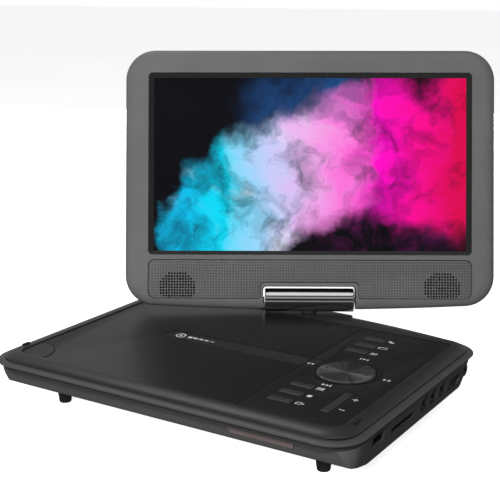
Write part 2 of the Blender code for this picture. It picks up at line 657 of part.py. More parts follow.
def build_hinge(base, swivel):
    bm = bmesh.new()
    outline = rectangle(-HOUSING_HALF, HOUSING_HALF, HOUSING_FRONT, HOUSING_BACK, 3.0)
    inset = rectangle(-HOUSING_HALF + 0.8, HOUSING_HALF - 0.8, HOUSING_FRONT + 0.8, HOUSING_BACK - 0.8, 2.4)
    loft(bm, [in_plane(outline, -8.6, "XY"), in_plane(outline, HOUSING_TOP - 0.8, "XY"), in_plane(inset, HOUSING_TOP, "XY")])
    housing = node("hinge_housing", bm, "black_plastic", base)
    inside = bmesh.new()
    box(inside, -HOUSING_HALF + 2, HOUSING_HALF - 2, HOUSING_FRONT + 2, HOUSING_BACK - 1, -12.0, -3.0)
    boolean(housing, inside, "hollow")
    hole = bmesh.new()
    turned(hole, ((SHAFT_R + 0.1, -12.0), (SHAFT_R + 0.1, 3.0)))
    boolean(housing, hole, "shaft_hole")

    shaft = bmesh.new()
    turned(shaft, ((SHAFT_R - 1, -9.0), (SHAFT_R, -8.4), (SHAFT_R, HOUSING_TOP)))
    node("swivel_shaft", shaft, "steel", swivel)
    nut = bmesh.new()
    turned(nut, ((6.7, -5.0), (6.7, -3.3)))
    washer = node("swivel_washer", nut, "steel", swivel)
    bore = bmesh.new()
    turned(bore, ((SHAFT_R + 0.3, -8.0), (SHAFT_R + 0.3, 0.0)))
    boolean(washer, bore, "bore")

    bm = bmesh.new()
    profile = ((BARREL_R - 1.0, -BARREL_HALF), (BARREL_R, -BARREL_HALF + 1.0), (BARREL_R, BARREL_HALF - 1.0),
               (BARREL_R - 1.0, BARREL_HALF))
    turned(bm, profile, (0.0, TILT_AXIS_Z), "YZ", 36)
    barrel = node("hinge_barrel", bm, "chrome", swivel, (0.0, 0.0, TILT_AXIS_Z))
    neck = bmesh.new()
    turned(neck, ((NECK_R, HOUSING_TOP + GAP), (NECK_R, TILT_AXIS_Z - 5.0)))
    boolean(barrel, neck, "neck", "UNION")
    for name, side in (("tilt_pin_left", -1), ("tilt_pin_right", 1)):
        pin = bmesh.new()
        turned(pin, ((PIN_R, side * (BARREL_HALF + GAP)), (PIN_R, side * 43.0)), (0.0, TILT_AXIS_Z), "YZ", 24)
        node(name, pin, "steel", swivel, (0.0, 0.0, TILT_AXIS_Z))


# Screen.

def notch_tool(grow=0.0):
    bm = bmesh.new()
    outline = rectangle(-NOTCH_HALF - grow, NOTCH_HALF + grow, -20.0, NOTCH_TOP + grow, 2.5)
    prism(bm, outline, -20.0, 20.0, "XZ")
    return bm


def pin_tool():
    """The tilt pins' clearance through the screen's shells, wider round each bracket's collar."""
    near, far = BRACKET_X[0] - GAP, BRACKET_X[1] + GAP
    pin, collar = PIN_R + 0.5, COLLAR_R + GAP
    half = [(pin, near), (collar, near + 0.05), (collar, far - 0.05), (pin, far), (pin, far + 5.0)]
    profile = [(r, -x) for r, x in reversed(half)] + half
    return turned(bmesh.new(), profile, (0.0, 0.0), "YZ", 24)


def cavity(y0, y1):
    bm = bmesh.new()
    outline = stepped_outline(SCREEN_HALF - 4.8, SCREEN_BOTTOM + 7.6, SCREEN_TOP - 4.8, 15.0, 37.0, NOTCH_TOP + 2.4)
    prism(bm, outline, y0, y1, "XZ")
    return bm


def build_bezel(screen):
    bm = bmesh.new()
    levels = ((-GAP / 2, 0.0), (-2.2, 0.3), (-4.0, 1.2), (-5.3, 3.0), (-6.2, 5.4), (FACE_Y, 9.0))
    loft(bm, [in_plane(screen_outline(inset), y, "XZ") for y, inset in levels])
    bezel = node("front_bezel", bm, "grey_plastic", screen)
    boolean(bezel, cavity(FACE_Y + BEZEL_T, 5.0), "cavity")
    window = bmesh.new()
    opening = rectangle(-WINDOW_HALF, WINDOW_HALF, WINDOW_LOW, WINDOW_HIGH, 3.5)
    inner = rectangle(-WINDOW_HALF + 1.9, WINDOW_HALF - 1.9, WINDOW_LOW + 1.9, WINDOW_HIGH - 1.9, 2.4)
    loft(window, [in_plane(opening, FACE_Y - 1.0, "XZ"), in_plane(opening, FACE_Y, "XZ"),
                  in_plane(inner, FACE_Y + 2.2, "XZ"), in_plane(inner, 0.0, "XZ")])
    boolean(bezel, window, "window")
    boolean(bezel, grille_solid(GAP, FACE_Y - 1.0, 0.0), "grille_opening")
    boolean(bezel, notch_tool(), "notch")
    boolean(bezel, pin_tool(), "pin_hole")


def grille_solid(grow, y0, y1):
    bm = bmesh.new()
    outline = stepped_outline(115.9 + grow, 1.3 - grow, 28.7 + grow, 5.0, 35.5 - grow, 12.9 - grow)
    prism(bm, outline, y0, y1, "XZ")
    return bm


def build_grille(screen):
    grille = node("speaker_grille", grille_solid(0.0, FACE_Y + 0.3, -3.9), "grey_plastic", screen)
    flange = bmesh.new()
    outline = stepped_outline(118.0, 0.8, 30.6, 5.0, 42.0, 14.5)
    prism(flange, outline, FACE_Y + BEZEL_T + GAP, -3.2, "XZ")
    boolean(grille, flange, "flange", "UNION")
    holes = bmesh.new()
    for side in (-1, 1):
        for row in range(-1, 2):
            for column in range(-1, 2):
                x = side * SPEAKER_X + 6.0 * column
                z = SPEAKER_Z + 6.0 * row
                box(holes, x - 1.2, x + 1.2, -12.0, 0.0, z - 1.2, z + 1.2)
    boolean(grille, holes, "sound_holes")


def build_back_cover(screen):
    bm = bmesh.new()
    levels = ((GAP / 2, 0.0), (2.4, 0.4), (4.4, 1.8), (5.9, 4.2), (7.0, 7.6), (BACK_Y, 12.0))
    loft(bm, [in_plane(screen_outline(inset), y, "XZ") for y, inset in levels])
    cover = node("back_cover", bm, "black_plastic", screen)
    boolean(cover, cavity(-5.0, BACK_Y - 2.4), "cavity")
    boolean(cover, notch_tool(), "notch")
    boolean(cover, pin_tool(), "pin_hole")
    vents = bmesh.new()
    for side in (-1, 1):
        for k in range(5):
            z = 20.0 + 5.0 * k
            prism(vents, rectangle(side * 90 - 14.0, side * 90 + 14.0, z, z + 1.6), 0.0, 20.0, "XZ")
    boolean(cover, vents, "vents")


def build_screen_inside(screen):
    panel = bmesh.new()
    prism(panel, rectangle(-118.0, 118.0, 31.2, 166.0, 1.5, 2), -4.4, -2.6, "XZ")
    node("lcd_panel", panel, "lcd", screen)
    frame = bmesh.new()
    prism(frame, rectangle(-119.0, 119.0, 31.2, 167.0, 1.5, 2), -2.3, 1.4, "XZ")
    node("lcd_backlight", frame, "steel", screen)
    board = bmesh.new()
    prism(board, rectangle(-70.0, 70.0, 60.0, 120.0, 2.0, 2), 1.9, 3.5, "XZ")
    obj = node("screen_board", board, "board", screen)
    chips = bmesh.new()
    for x, z, w in ((-30.0, 90.0, 14.0), (12.0, 96.0, 18.0), (44.0, 84.0, 10.0)):
        box(chips, x - w / 2, x + w / 2, 3.0, 4.8, z - w / 2, z + w / 2)
    boolean(obj, chips, "chips", "UNION")
    for name, side in (("speaker_left", -1), ("speaker_right", 1)):
        cone = bmesh.new()
        centre = (side * SPEAKER_X, SPEAKER_Z)
        turned(cone, ((12.6, -2.9), (12.6, -0.9), (9.0, 1.4), (8.0, 4.8)), centre, "XZ", 28)
        node(name, cone, "socket_plastic", screen)
    for name, side in (("hinge_bracket_left", -1), ("hinge_bracket_right", 1)):
        plate = bmesh.new()
        low, high = sorted(side * x for x in BRACKET_X)
        prism(plate, rounded([(-2.6, 2.1, 0.0), (2.6, 2.1, 0.0), (4.8, 9.0, 0.0), (4.8, 30.0, 1.0), (1.8, 30.0, 1.0),
                              (-2.6, 8.0, 0.0)]), low, high, "YZ")
        bracket = node(name, plate, "steel", screen)
        collar = bmesh.new()
        turned(collar, ((COLLAR_R, low), (COLLAR_R, high)), (0.0, 0.0), "YZ", 24)
        boolean(bracket, collar, "collar", "UNION")
        bore = bmesh.new()
        turned(bore, ((PIN_R + 0.08, low - 5.0), (PIN_R + 0.08, high + 5.0)), (0.0, 0.0), "YZ", 24)
        boolean(bracket, bore, "bore")


def main():
    clear_scene()
    make_materials()
    deck = empty("deck_frame", (SWIVEL_X, SWIVEL_Y, DECK_Z))
    swivel = empty("swivel_axis", (0.0, 0.0, 0.0), (0.0, 0.0, SWIVEL_DEG), deck)
    screen = empty("tilt_axis", (0.0, 0.0, TILT_AXIS_Z), (-TILT_DEG, 0.0, 0.0), swivel)

    build_bottom_shell(deck)
    build_top_shell(deck)
    build_disc_lid(deck)
    build_control_panel(deck)
    for row, places in (("upper", UPPER_KEYS), ("lower", LOWER_KEYS)):
        for number, y in enumerate(places, 1):
            build_key(f"key_{row}_{number}", y, deck)
    build_navigation(deck)
    build_rocker(deck)
    build_release(deck)
    build_power_switch(deck)
    build_ports(deck)
    build_ir_window(deck)
    build_feet(deck)
    build_bumpers(deck)
    build_screws(deck)
    build_drive(deck)
    build_electronics(deck)
    build_hinge(deck, swivel)
    build_bezel(screen)
    build_grille(screen)
    build_back_cover(screen)
    build_screen_inside(screen)


main()
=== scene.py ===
"""Looks of a portable disc player with a swivelling screen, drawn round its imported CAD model.

Pieces are drawn in millimetres in one of three frames. The deck frame's origin is on the swivel
axis at the height of the deck, X to the right and Y to the back. The hinge frame sits on the tilt
axis and turns with the swivel. The screen frame is the hinge frame leaned back with the screen,
with Z up the screen. Sizes that the CAD settles are read from its nodes with extent().
"""

import json
from math import atan2, cos, pi, radians, sin

import bmesh
import bpy
import numpy as np
from mathutils import Matrix, Vector


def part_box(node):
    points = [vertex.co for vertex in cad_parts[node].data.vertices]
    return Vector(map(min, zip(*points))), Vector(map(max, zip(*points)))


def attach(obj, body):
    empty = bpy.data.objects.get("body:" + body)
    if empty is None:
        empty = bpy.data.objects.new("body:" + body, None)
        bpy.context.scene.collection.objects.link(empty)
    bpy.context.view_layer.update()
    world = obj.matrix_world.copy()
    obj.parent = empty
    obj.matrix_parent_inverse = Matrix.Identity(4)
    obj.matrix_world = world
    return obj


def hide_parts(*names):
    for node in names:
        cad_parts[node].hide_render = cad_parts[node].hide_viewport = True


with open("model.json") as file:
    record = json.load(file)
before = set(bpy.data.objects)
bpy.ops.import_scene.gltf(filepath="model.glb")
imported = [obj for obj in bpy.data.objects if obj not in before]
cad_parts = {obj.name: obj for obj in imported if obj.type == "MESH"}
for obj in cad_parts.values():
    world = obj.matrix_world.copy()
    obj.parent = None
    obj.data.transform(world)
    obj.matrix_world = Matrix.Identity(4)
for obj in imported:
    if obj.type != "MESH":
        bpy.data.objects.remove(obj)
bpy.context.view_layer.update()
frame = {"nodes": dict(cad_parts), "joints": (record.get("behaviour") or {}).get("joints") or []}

MM = 0.001
JOINTS = {joint["name"]: joint for joint in frame["joints"]}
PIVOT = Vector(JOINTS["screen_tilt"]["pos_m"])
TILT_AXIS = Vector(JOINTS["screen_tilt"]["axis"])
SWIVEL = atan2(TILT_AXIS.y, TILT_AXIS.x)
# The screen closes flat on the deck at the far end of its tilt.
TILT = radians(JOINTS["screen_tilt"]["range_deg"][1]) - pi / 2
DECK_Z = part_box("disc_lid")[1].z

DECK = Matrix.Translation((PIVOT.x, PIVOT.y, DECK_Z))
HINGE = Matrix.Translation(PIVOT) @ Matrix.Rotation(SWIVEL, 4, "Z")
SCREEN = HINGE @ Matrix.Rotation(-TILT, 4, "X")


def extent(node, matrix=DECK):
    """Lowest and highest corner of a CAD node in one of the drawing frames, in millimetres."""
    inverse = matrix.inverted()
    points = np.array([inverse @ v.co for v in frame["nodes"][node].data.vertices]) / MM
    return Vector(points.min(0)), Vector(points.max(0))


def middle(node, matrix=DECK):
    low, high = extent(node, matrix)
    return (low + high) / 2


# Base.
LID_LOW, LID_HIGH = extent("disc_lid")
PANEL_LOW, PANEL_HIGH = extent("control_panel")
SHELL_LOW = extent("bottom_shell")[0]
HOUSING_LOW, HOUSING_HIGH = extent("hinge_housing")
DECK_R = 8.0
CLEAR = 0.3
PLATE_T = LID_HIGH.z - LID_LOW.z

# Screen.
BEZEL_LOW, BEZEL_HIGH = extent("front_bezel", SCREEN)
COVER_LOW, COVER_HIGH = extent("back_cover", SCREEN)
GRILLE_LOW, GRILLE_HIGH = extent("speaker_grille", SCREEN)
PICTURE_LOW, PICTURE_HIGH = extent("lcd_panel", SCREEN)
BARREL_LOW, BARREL_HIGH = extent("hinge_barrel", HINGE)
BARREL_HALF = BARREL_HIGH.x
BARREL_R = BARREL_HIGH.z
FACE = BEZEL_LOW.y
BACK_BOW = 11.0
SCREEN_BOW = 2.8
SCREEN_R = 21.5
BEZEL_T = 2.0
NOTCH_HALF = BARREL_HALF + 1.3
NOTCH_TOP = BARREL_R + 1.3
WINDOW_HALF = 116.0
WINDOW_LOW = 32.6
WINDOW_HIGH = 163.4
PICTURE_HALF = 112.2
PICTURE_BASE = 35.4
PICTURE_TOP = 159.9
PICTURE_SHARE = 0.56
DIMPLE_DEPTH = 0.15
HOLE_PITCH = 2.0
HOLE = 1.4
CLUSTER_R = 12.7
CLUSTER_X = 95.0
COVER_SCREWS = ((-104.0, 158.0), (104.0, 158.0), (-60.0, 8.0), (60.0, 8.0))


# Materials.

class Nodes:
    """Short calls that build a node tree."""

    def __init__(self, tree):
        self.tree = tree

    def put(self, socket, value):
        if isinstance(value, bpy.types.NodeSocket):
            self.tree.links.new(value, socket)
        elif socket.type == "RGBA":
            socket.default_value = (*value[:3], 1.0)
        else:
            socket.default_value = value

    def add(self, kind, inputs=None, **settings):
        node = self.tree.nodes.new("ShaderNode" + kind)
        for key, value in settings.items():
            setattr(node, key, value)
        for key, value in (inputs or {}).items():
            self.put(node.inputs[key], value)
        return node

    def math(self, operation, a, b=0.0, clamp=False):
        return self.add("Math", {0: a, 1: b}, operation=operation, use_clamp=clamp).outputs[0]

    def length(self, x, y):
        squares = [self.math("MULTIPLY", side, side) for side in (x, y)]
        return self.math("SQRT", self.math("ADD", *squares))

    def split(self, vector):
        return self.add("SeparateXYZ", {0: vector}).outputs

    def joined(self, **parts):
        return self.add("CombineXYZ", parts).outputs[0]

    def scaled(self, vector, scale):
        return self.add("VectorMath", {0: vector, 1: scale}, operation="MULTIPLY").outputs[0]

    def moved(self, vector, by):
        return self.add("VectorMath", {0: vector, 1: by}, operation="ADD").outputs[0]

    def spread(self, value, low, high, start=0.3, end=0.7):
        inputs = {"Value": value, "From Min": start, "From Max": end, "To Min": low, "To Max": high}
        return self.add("MapRange", inputs).outputs["Result"]

    def ease(self, value, start, end):
        inputs = {"Value": value, "From Min": start, "From Max": end}
        return self.add("MapRange", inputs, interpolation_type="SMOOTHSTEP").outputs["Result"]

    def ramp(self, value, stops):
        node = self.add("ValToRGB", {"Fac": value})
        elements = node.color_ramp.elements
        while len(elements) < len(stops):
            elements.new(0.5)
        for element, (position, colour) in zip(elements, stops):
            element.position = position
            element.color = (*colour, 1.0)
        return node.outputs["Color"]

    def mix(self, factor, a, b):
        node = self.add("Mix", data_type="RGBA")
        for index, value in ((0, factor), (6, a), (7, b)):
            self.put(node.inputs[index], value)
        return node.outputs[2]


class Look(Nodes):
    """A material whose patterns lie in its piece's drawing frame, in metres."""

    def __init__(self, name, values=None):
        self.material = bpy.data.materials.new(name)
        self.material.use_nodes = True
        super().__init__(self.material.node_tree)
        self.shader = self.tree.nodes["Principled BSDF"]
        self.here = self.add("TexCoord").outputs["Object"]
        for socket, value in (values or {}).items():
            self.put(self.shader.inputs[socket], value)

    def surface(self, colour, roughness):
        self.put(self.shader.inputs["Base Color"], colour)
        self.put(self.shader.inputs["Roughness"], roughness)

    def bump(self, height, strength, distance):
        inputs = {"Height": height, "Strength": strength, "Distance": distance}
        self.put(self.shader.inputs["Normal"], self.add("Bump", inputs).outputs["Normal"])

    def noise(self, scale, detail=2.0, roughness=0.5, distortion=0.0, vector=None):
        inputs = {"Vector": vector or self.here, "Scale": scale, "Detail": detail, "Roughness": roughness,
                  "Distortion": distortion}
        return self.add("TexNoise", inputs).outputs["Fac"]

    def grain(self, colour, roughness, variation=0.08, scale=1500.0, strength=0.2, uneven=0.05, painted_shade=None):
        """Moulded surface: fine spark-erosion grain, with a faint drift in colour and gloss."""
        cloudy = self.mix(self.ease(self.noise(45.0, 4.0), 0.3, 0.7), shade(colour, 1 - variation), colour)
        fine = self.noise(scale, 3.0, 0.6)
        gloss = self.math("ADD", self.noise(70.0, 3.0), self.math("MULTIPLY", fine, 0.5))
        # An optional colour function paints shade into the colour.
        self.surface(painted_shade(cloudy) if painted_shade else cloudy,
                     self.spread(gloss, roughness - uneven, roughness + uneven, 0.5, 1.0))
        self.bump(fine, strength, 0.00004)
        return self

    def cells(self, pitch, across, up):
        """Distance from the middle of each cell of a square grid, along two axes, from 0 to 0.5."""
        axes = self.split(self.here)
        turns = [self.math("DIVIDE", axes[axis], pitch * MM) for axis in (across, up)]
        return [self.math("ABSOLUTE", self.math("SUBTRACT", self.math("FRACT", turn), 0.5)) for turn in turns]


def shade(colour, share):
    return tuple(min(1.0, c * share) for c in colour)


def plastic(name, colour, roughness, **more):
    return Look(name).grain(colour, roughness, **more).material


def lower_plastic():
    """The lower casing's plastic with painted shade: darker on its up-facing lip, and darkest in the groove under
    the lip, where the lip's shadow falls.
    """
    n = Look("lower_plastic")
    level = n.math("DIVIDE", n.split(n.here)["Z"], MM)
    # Painted shade: masks by height for the lip and for the groove under it.
    groove, lip_shade = n.ease(level, -9.3, -8.2), n.ease(level, -5.8, -4.8)

    # Painted shade: near-black in the groove under the lip, dark grey on the lip.
    def painted_shade(plain):
        return n.mix(lip_shade, n.mix(groove, plain, (0.022, 0.022, 0.0222)), (0.052, 0.052, 0.0525))

    return n.grain((0.10, 0.10, 0.101), 0.45, painted_shade=painted_shade).material


def dimpled(name, colour, roughness, pitch, size, up, dimple_shade, hole_shade_from=None):
    """Moulded plastic with a grid of small square dimples, darkened as painted shade; beyond a depth the walls of
    its holes are painted black as shade.
    """
    n = Look(name)
    dimple = n.math("LESS_THAN", n.math("MAXIMUM", *n.cells(pitch, "X", up)), size / pitch / 2)

    # Painted shade: the dimples take a darker share of the colour, and the hole walls beyond the given depth go
    # near-black.
    def painted_shade(plain):
        dimples_shaded = n.mix(dimple, plain, shade(colour, dimple_shade))
        if hole_shade_from is None:
            return dimples_shaded
        hole_shade = n.math("GREATER_THAN", n.split(n.here)["Y"], hole_shade_from * MM)
        return n.mix(hole_shade, dimples_shaded, (0.004, 0.004, 0.004))

    n.grain(colour, roughness, painted_shade=painted_shade)
    height = n.math("SUBTRACT", n.math("MULTIPLY", n.noise(1500.0, 3.0), 0.1), dimple)
    n.bump(height, 1.0, DIMPLE_DEPTH * MM)
    return n.material


def brushed(name, colour, roughness, stretch, streak=0.08):
    """Metal with fine streaks; stretch is small along the streaks and large across them."""
    n = Look(name, {"Metallic": 1.0})
    lines = n.noise(1.0, 4.0, 0.7, vector=n.scaled(n.here, stretch))
    n.surface(n.mix(n.ease(lines, 0.3, 0.7), shade(colour, 1 - streak), shade(colour, 1 + streak)),
              n.spread(lines, roughness * 0.8, roughness * 1.25))
    n.bump(lines, 0.05, 0.00002)
    return n.material


def spun_metal():
    """Dark disc turned on a lathe: fine rings, and a painted highlight in its colour that fans out from its middle,
    beside the real one of its radial gloss.
    """
    n = Look("spun_metal", {"Metallic": 0.9, "Anisotropic": 0.85})
    x, y, _ = n.split(n.here)
    rings = n.noise(1.0, 3.0, 0.7, vector=n.joined(X=n.math("MULTIPLY", n.length(x, y), 2600.0)))
    angle = n.math("ARCTAN2", y, x)
    around = n.joined(X=n.math("COSINE", n.math("MULTIPLY", angle, 2.0)), Y=n.math("SINE", angle))
    # Painted highlight: light and dark wedges round the middle, mixed into the colour.
    painted_fan_highlight = n.noise(1.2, 1.5, 0.5, vector=around)
    tone = n.math("ADD", n.math("MULTIPLY", rings, 0.35), n.math("MULTIPLY", painted_fan_highlight, 0.65))
    n.surface(n.ramp(tone, ((0.38, (0.045, 0.045, 0.046)), (0.62, (0.36, 0.36, 0.365)))),
              n.spread(rings, 0.3, 0.42))
    n.put(n.shader.inputs["Tangent"], n.add("Tangent", direction_type="RADIAL", axis="Z").outputs[0])
    n.bump(rings, 0.12, 0.00003)
    return n.material


def floor_paper():
    """White paper that glows a little, so that the shadow under the object stays faint."""
    n = Look("floor_paper", {"Roughness": 0.9, "Specular IOR Level": 0.0, "Emission Strength": 0.88})
    tone = n.spread(n.noise(3.0), 0.97, 1.0)
    white = n.add("CombineColor", {"Red": tone, "Green": tone, "Blue": tone}).outputs[0]
    n.put(n.shader.inputs["Base Color"], n.mix(0.75, (0.0, 0.0, 0.0), white))
    n.put(n.shader.inputs["Emission Color"], white)
    return n.material


def circuit_board():
    n = Look("circuit_board")
    tracks = n.add("TexBrick", {
        "Vector": n.scaled(n.here, (1.0, 1.0, 0.0)), "Scale": 260.0, "Mortar Size": 0.03,
        "Color1": (0.01, 0.12, 0.05), "Color2": (0.015, 0.15, 0.06), "Mortar": (0.02, 0.22, 0.09)})
    n.surface(tracks.outputs["Color"], n.spread(n.noise(300.0), 0.3, 0.5))
    n.bump(tracks.outputs["Fac"], 0.3, 0.00003)
    return n.material


def battery_film():
    """Shrink film: soft wrinkles and a mild gloss."""
    n = Look("battery_film")
    colour = (0.02, 0.06, 0.22)
    folds = n.noise(60.0, 5.0, 0.6, 1.5)
    n.surface(n.mix(folds, shade(colour, 0.8), colour), n.spread(folds, 0.27, 0.43))
    n.bump(folds, 0.25, 0.0004)
    return n.material


def smoked_window():
    n = Look("smoked_window", {"Specular IOR Level": 0.7, "Coat Weight": 0.6, "Coat Roughness": 0.08})
    cloud = n.noise(40.0, 3.0)
    n.surface(n.ramp(cloud, ((0.3, (0.17, 0.125, 0.122)), (0.7, (0.24, 0.185, 0.18)))),
              n.spread(cloud, 0.14, 0.24))
    n.bump(n.noise(900.0), 0.05, 0.00003)
    return n.material


def glass_lens():
    n = Look("glass_lens", {"Transmission Weight": 0.6, "Coat Weight": 1.0})
    n.surface(n.ramp(n.noise(200.0), ((0.3, (0.06, 0.1, 0.3)), (0.7, (0.12, 0.2, 0.4)))),
              n.spread(n.noise(500.0), 0.02, 0.08))
    return n.material


# Where the display's clouds are and how far they reach, as shares of the picture's width:
# middle across, middle up, reach across, reach up.
CLOUDS = (
    (0.09, 0.07, 0.08, 0.12), (0.18, 0.11, 0.11, 0.15), (0.27, 0.18, 0.11, 0.18), (0.36, 0.22, 0.12, 0.18),
    (0.31, 0.05, 0.15, 0.09), (0.45, 0.25, 0.12, 0.19), (0.55, 0.29, 0.12, 0.19), (0.65, 0.33, 0.12, 0.19),
    (0.75, 0.36, 0.12, 0.22), (0.86, 0.29, 0.13, 0.20), (0.97, 0.32, 0.14, 0.27),
)
BLUE_HAZE = (0.50, 0.49, 0.17, 0.14)
DARK_HAZE = (0.80, 0.10, 0.30, 0.12)
SMOKE_COLOURS = (
    (0.08, (0.0, 0.5, 0.82)), (0.22, (0.0, 0.72, 0.95)), (0.31, (0.30, 0.68, 0.97)), (0.40, (0.60, 0.60, 0.95)),
    (0.50, (0.85, 0.42, 0.85)), (0.61, (0.95, 0.20, 0.72)), (0.72, (1.0, 0.0, 0.58)), (0.86, (0.95, 0.0, 0.28)),
    (0.99, (0.72, 0.0, 0.08)),
)


def swirl(n, flat, scale, detail, amount, seed):
    """A smooth push of up to half the amount in the picture's plane."""
    inputs = {"Vector": n.moved(flat, (seed, seed * 0.7, seed)), "Scale": scale, "Detail": detail,
              "Roughness": 0.55}
    centred = n.moved(n.add("TexNoise", inputs).outputs["Color"], (-0.5, -0.5, -0.5))
    return n.scaled(centred, (amount, amount, 0.0))


def puff(n, x, y, place, soft=0.55):
    """A soft round cloud; place is a row like those of CLOUDS."""
    middle_x, middle_y, reach_x, reach_y = place
    dx = n.math("DIVIDE", n.math("SUBTRACT", x, middle_x), reach_x)
    dy = n.math("DIVIDE", n.math("SUBTRACT", y, middle_y), reach_y)
    return n.ease(n.length(dx, dy), 1.0 + soft / 2, 1.0 - soft / 2)


def smoke_colour(n, folded, x, wisps):
    hue = n.math("ADD", x, n.math("MULTIPLY", n.math("SUBTRACT", wisps, 0.5), 0.16))
    bright = n.ease(n.noise(4.0, 5.0, 0.6, 0.6, vector=folded), 0.48, 0.74)
    pale = n.math("MULTIPLY", bright, n.ease(x, 0.7, 0.4))
    return n.mix(n.math("MULTIPLY", pale, 0.6), n.ramp(hue, SMOKE_COLOURS), (0.88, 0.92, 1.0))


def smoke(n, flat):
    """Coloured smoke on black, in a plane whose unit is the picture's width."""
    folded = n.moved(n.moved(flat, swirl(n, flat, 3.6, 3.0, 0.17, 1.3)), swirl(n, flat, 10.0, 5.0, 0.12, 4.1))
    x, y, _ = n.split(folded)
    body = puff(n, x, y, CLOUDS[0])
    for place in CLOUDS[1:]:
        body = n.math("MAXIMUM", body, puff(n, x, y, place))
    wisps = n.noise(6.0, 7.0, 0.58, 0.35, vector=folded)
    fine = n.noise(19.0, 6.0, 0.6, 0.3, vector=folded)
    billow = n.math("ADD", n.math("MULTIPLY", wisps, 0.72), n.math("MULTIPLY", fine, 0.28))

    def thinned(cloud, *thickness):
        return n.math("MULTIPLY", cloud, n.spread(*thickness), clamp=True)

    blue = thinned(puff(n, x, y, BLUE_HAZE, 1.0), wisps, 0.25, 1.0, 0.35, 0.65)
    dark = thinned(puff(n, x, y, DARK_HAZE, 1.2), billow, 0.0, 0.5, 0.48, 0.66)
    behind = n.mix(blue, (0.0, 0.0, 0.0010), (0.012, 0.075, 0.25))
    behind = n.mix(dark, behind, (0.22, 0.01, 0.16))
    return n.mix(thinned(body, billow, 0.3, 1.25, 0.38, 0.58), behind, smoke_colour(n, folded, x, wisps))


def picture():
    """The lit display: coloured smoke that rises from the lower left to the upper right on black."""
    n = Look("display_picture", {"Specular IOR Level": 0.08, "Emission Strength": 1.0})
    half, base, top = PICTURE_HALF * MM, PICTURE_BASE * MM, PICTURE_TOP * MM
    x, _, z = n.split(n.here)
    across = n.math("DIVIDE", n.math("ADD", x, half), 2 * half)
    up = n.math("DIVIDE", n.math("SUBTRACT", z, base), top - base)
    lit = smoke(n, n.joined(X=across, Y=n.math("MULTIPLY", up, PICTURE_SHARE)))
    from_middle = n.math("ABSOLUTE", n.math("SUBTRACT", z, (base + top) / 2))
    inside = n.math("MULTIPLY", n.math("LESS_THAN", n.math("ABSOLUTE", x), half),
                    n.math("LESS_THAN", from_middle, (top - base) / 2))
    n.put(n.shader.inputs["Emission Color"], n.mix(inside, (0.0, 0.0, 0.0), lit))
    n.surface(n.mix(n.noise(3000.0), (0.003, 0.003, 0.004), (0.005, 0.005, 0.006)),
              n.spread(n.noise(2500.0), 0.3, 0.4))
    n.bump(n.noise(4000.0), 0.02, 0.00001)
    return n.material


LOOKS = {
    "bezel": plastic("bezel_plastic", (0.118, 0.118, 0.119), 0.45),
    "black": plastic("black_plastic", (0.02, 0.02, 0.021), 0.42),
    "rim": plastic("rim_plastic", (0.021, 0.021, 0.0214), 0.36, uneven=0.02),
    "lower": lower_plastic(),
    "deck": plastic("deck_plastic", (0.0085, 0.0085, 0.0087), 0.36, scale=2200.0, strength=0.1, uneven=0.012),
    "key": plastic("key_plastic", (0.036, 0.036, 0.037), 0.33),
    "socket": plastic("socket_plastic", (0.009, 0.009, 0.0095), 0.45),
    "print": plastic("printed_mark", (0.72, 0.72, 0.72), 0.5, variation=0.03),
    "dark_print": plastic("dark_mark", (0.01, 0.01, 0.01), 0.5),
    "gasket": plastic("gasket_plastic", (0.0125, 0.0125, 0.0125), 0.5),
    "rubber": plastic("rubber", (0.012, 0.012, 0.012), 0.75, scale=700.0, strength=0.4),
    "floor": floor_paper(),
    "light_guide": plastic("white_plastic", (0.6, 0.6, 0.58), 0.4),
    # The grille's and the strip's dimples, and the grille's hole walls, carry painted shade.
    "grille": dimpled("grille_plastic", (0.112, 0.112, 0.113), 0.46, HOLE_PITCH, 1.1, "Z", 0.55, FACE + 1.0),
    "strip": dimpled("strip_plastic", (0.026, 0.026, 0.0265), 0.4, 1.55, 0.8, "Y", 0.2),
    "steel": brushed("steel", (0.5, 0.5, 0.51), 0.3, (40.0, 900.0, 900.0)),
    "chrome": brushed("chrome", (0.80, 0.80, 0.81), 0.09, (6.0, 900.0, 900.0), streak=0.03),
    "spun": spun_metal(),
    "board": circuit_board(),
    "battery": battery_film(),
    "window": smoked_window(),
    "lens": glass_lens(),
    "picture": picture(),
}

# Edges that turn by more than this stay crisp.
SHARP = radians(32)


# Outlines: lists of 2-D points, counter-clockwise.

def rounded(corners, segments=10):
    """A closed outline with each (x, y, radius) corner turned into an arc."""
    points = []
    for i, (x, y, radius) in enumerate(corners):
        here = Vector((x, y))
        if radius <= 0.0:
            points.append(here)
            continue
        before = (Vector(corners[i - 1][:2]) - here).normalized()
        after = (Vector(corners[(i + 1) % len(corners)][:2]) - here).normalized()
        half = before.angle(after) / 2
        centre = here + (before + after).normalized() * (radius / sin(half))
        start = here + before * (radius * cos(half) / sin(half)) - centre
        end = here + after * (radius * cos(half) / sin(half)) - centre
        turn = start.angle_signed(end)
        for k in range(segments + 1):
            points.append(centre + Matrix.Rotation(-turn * k / segments, 2) @ start)
    return points


def rectangle(x0, x1, y0, y1, radius=0.0, segments=10):
    return rounded([(x0, y0, radius), (x1, y0, radius), (x1, y1, radius), (x0, y1, radius)], segments)


def around(low, high, grow=0.0, radius=0.0, segments=10):
    """The rectangle between two opposite corners, moved out by grow."""
    return rectangle(low[0] - grow, high[0] + grow, low[1] - grow, high[1] + grow, radius, segments)


def circle(x, y, radius, segments=64):
    steps = [2 * pi * k / segments for k in range(segments)]
    return [Vector((x + radius * cos(a), y + radius * sin(a))) for a in steps]


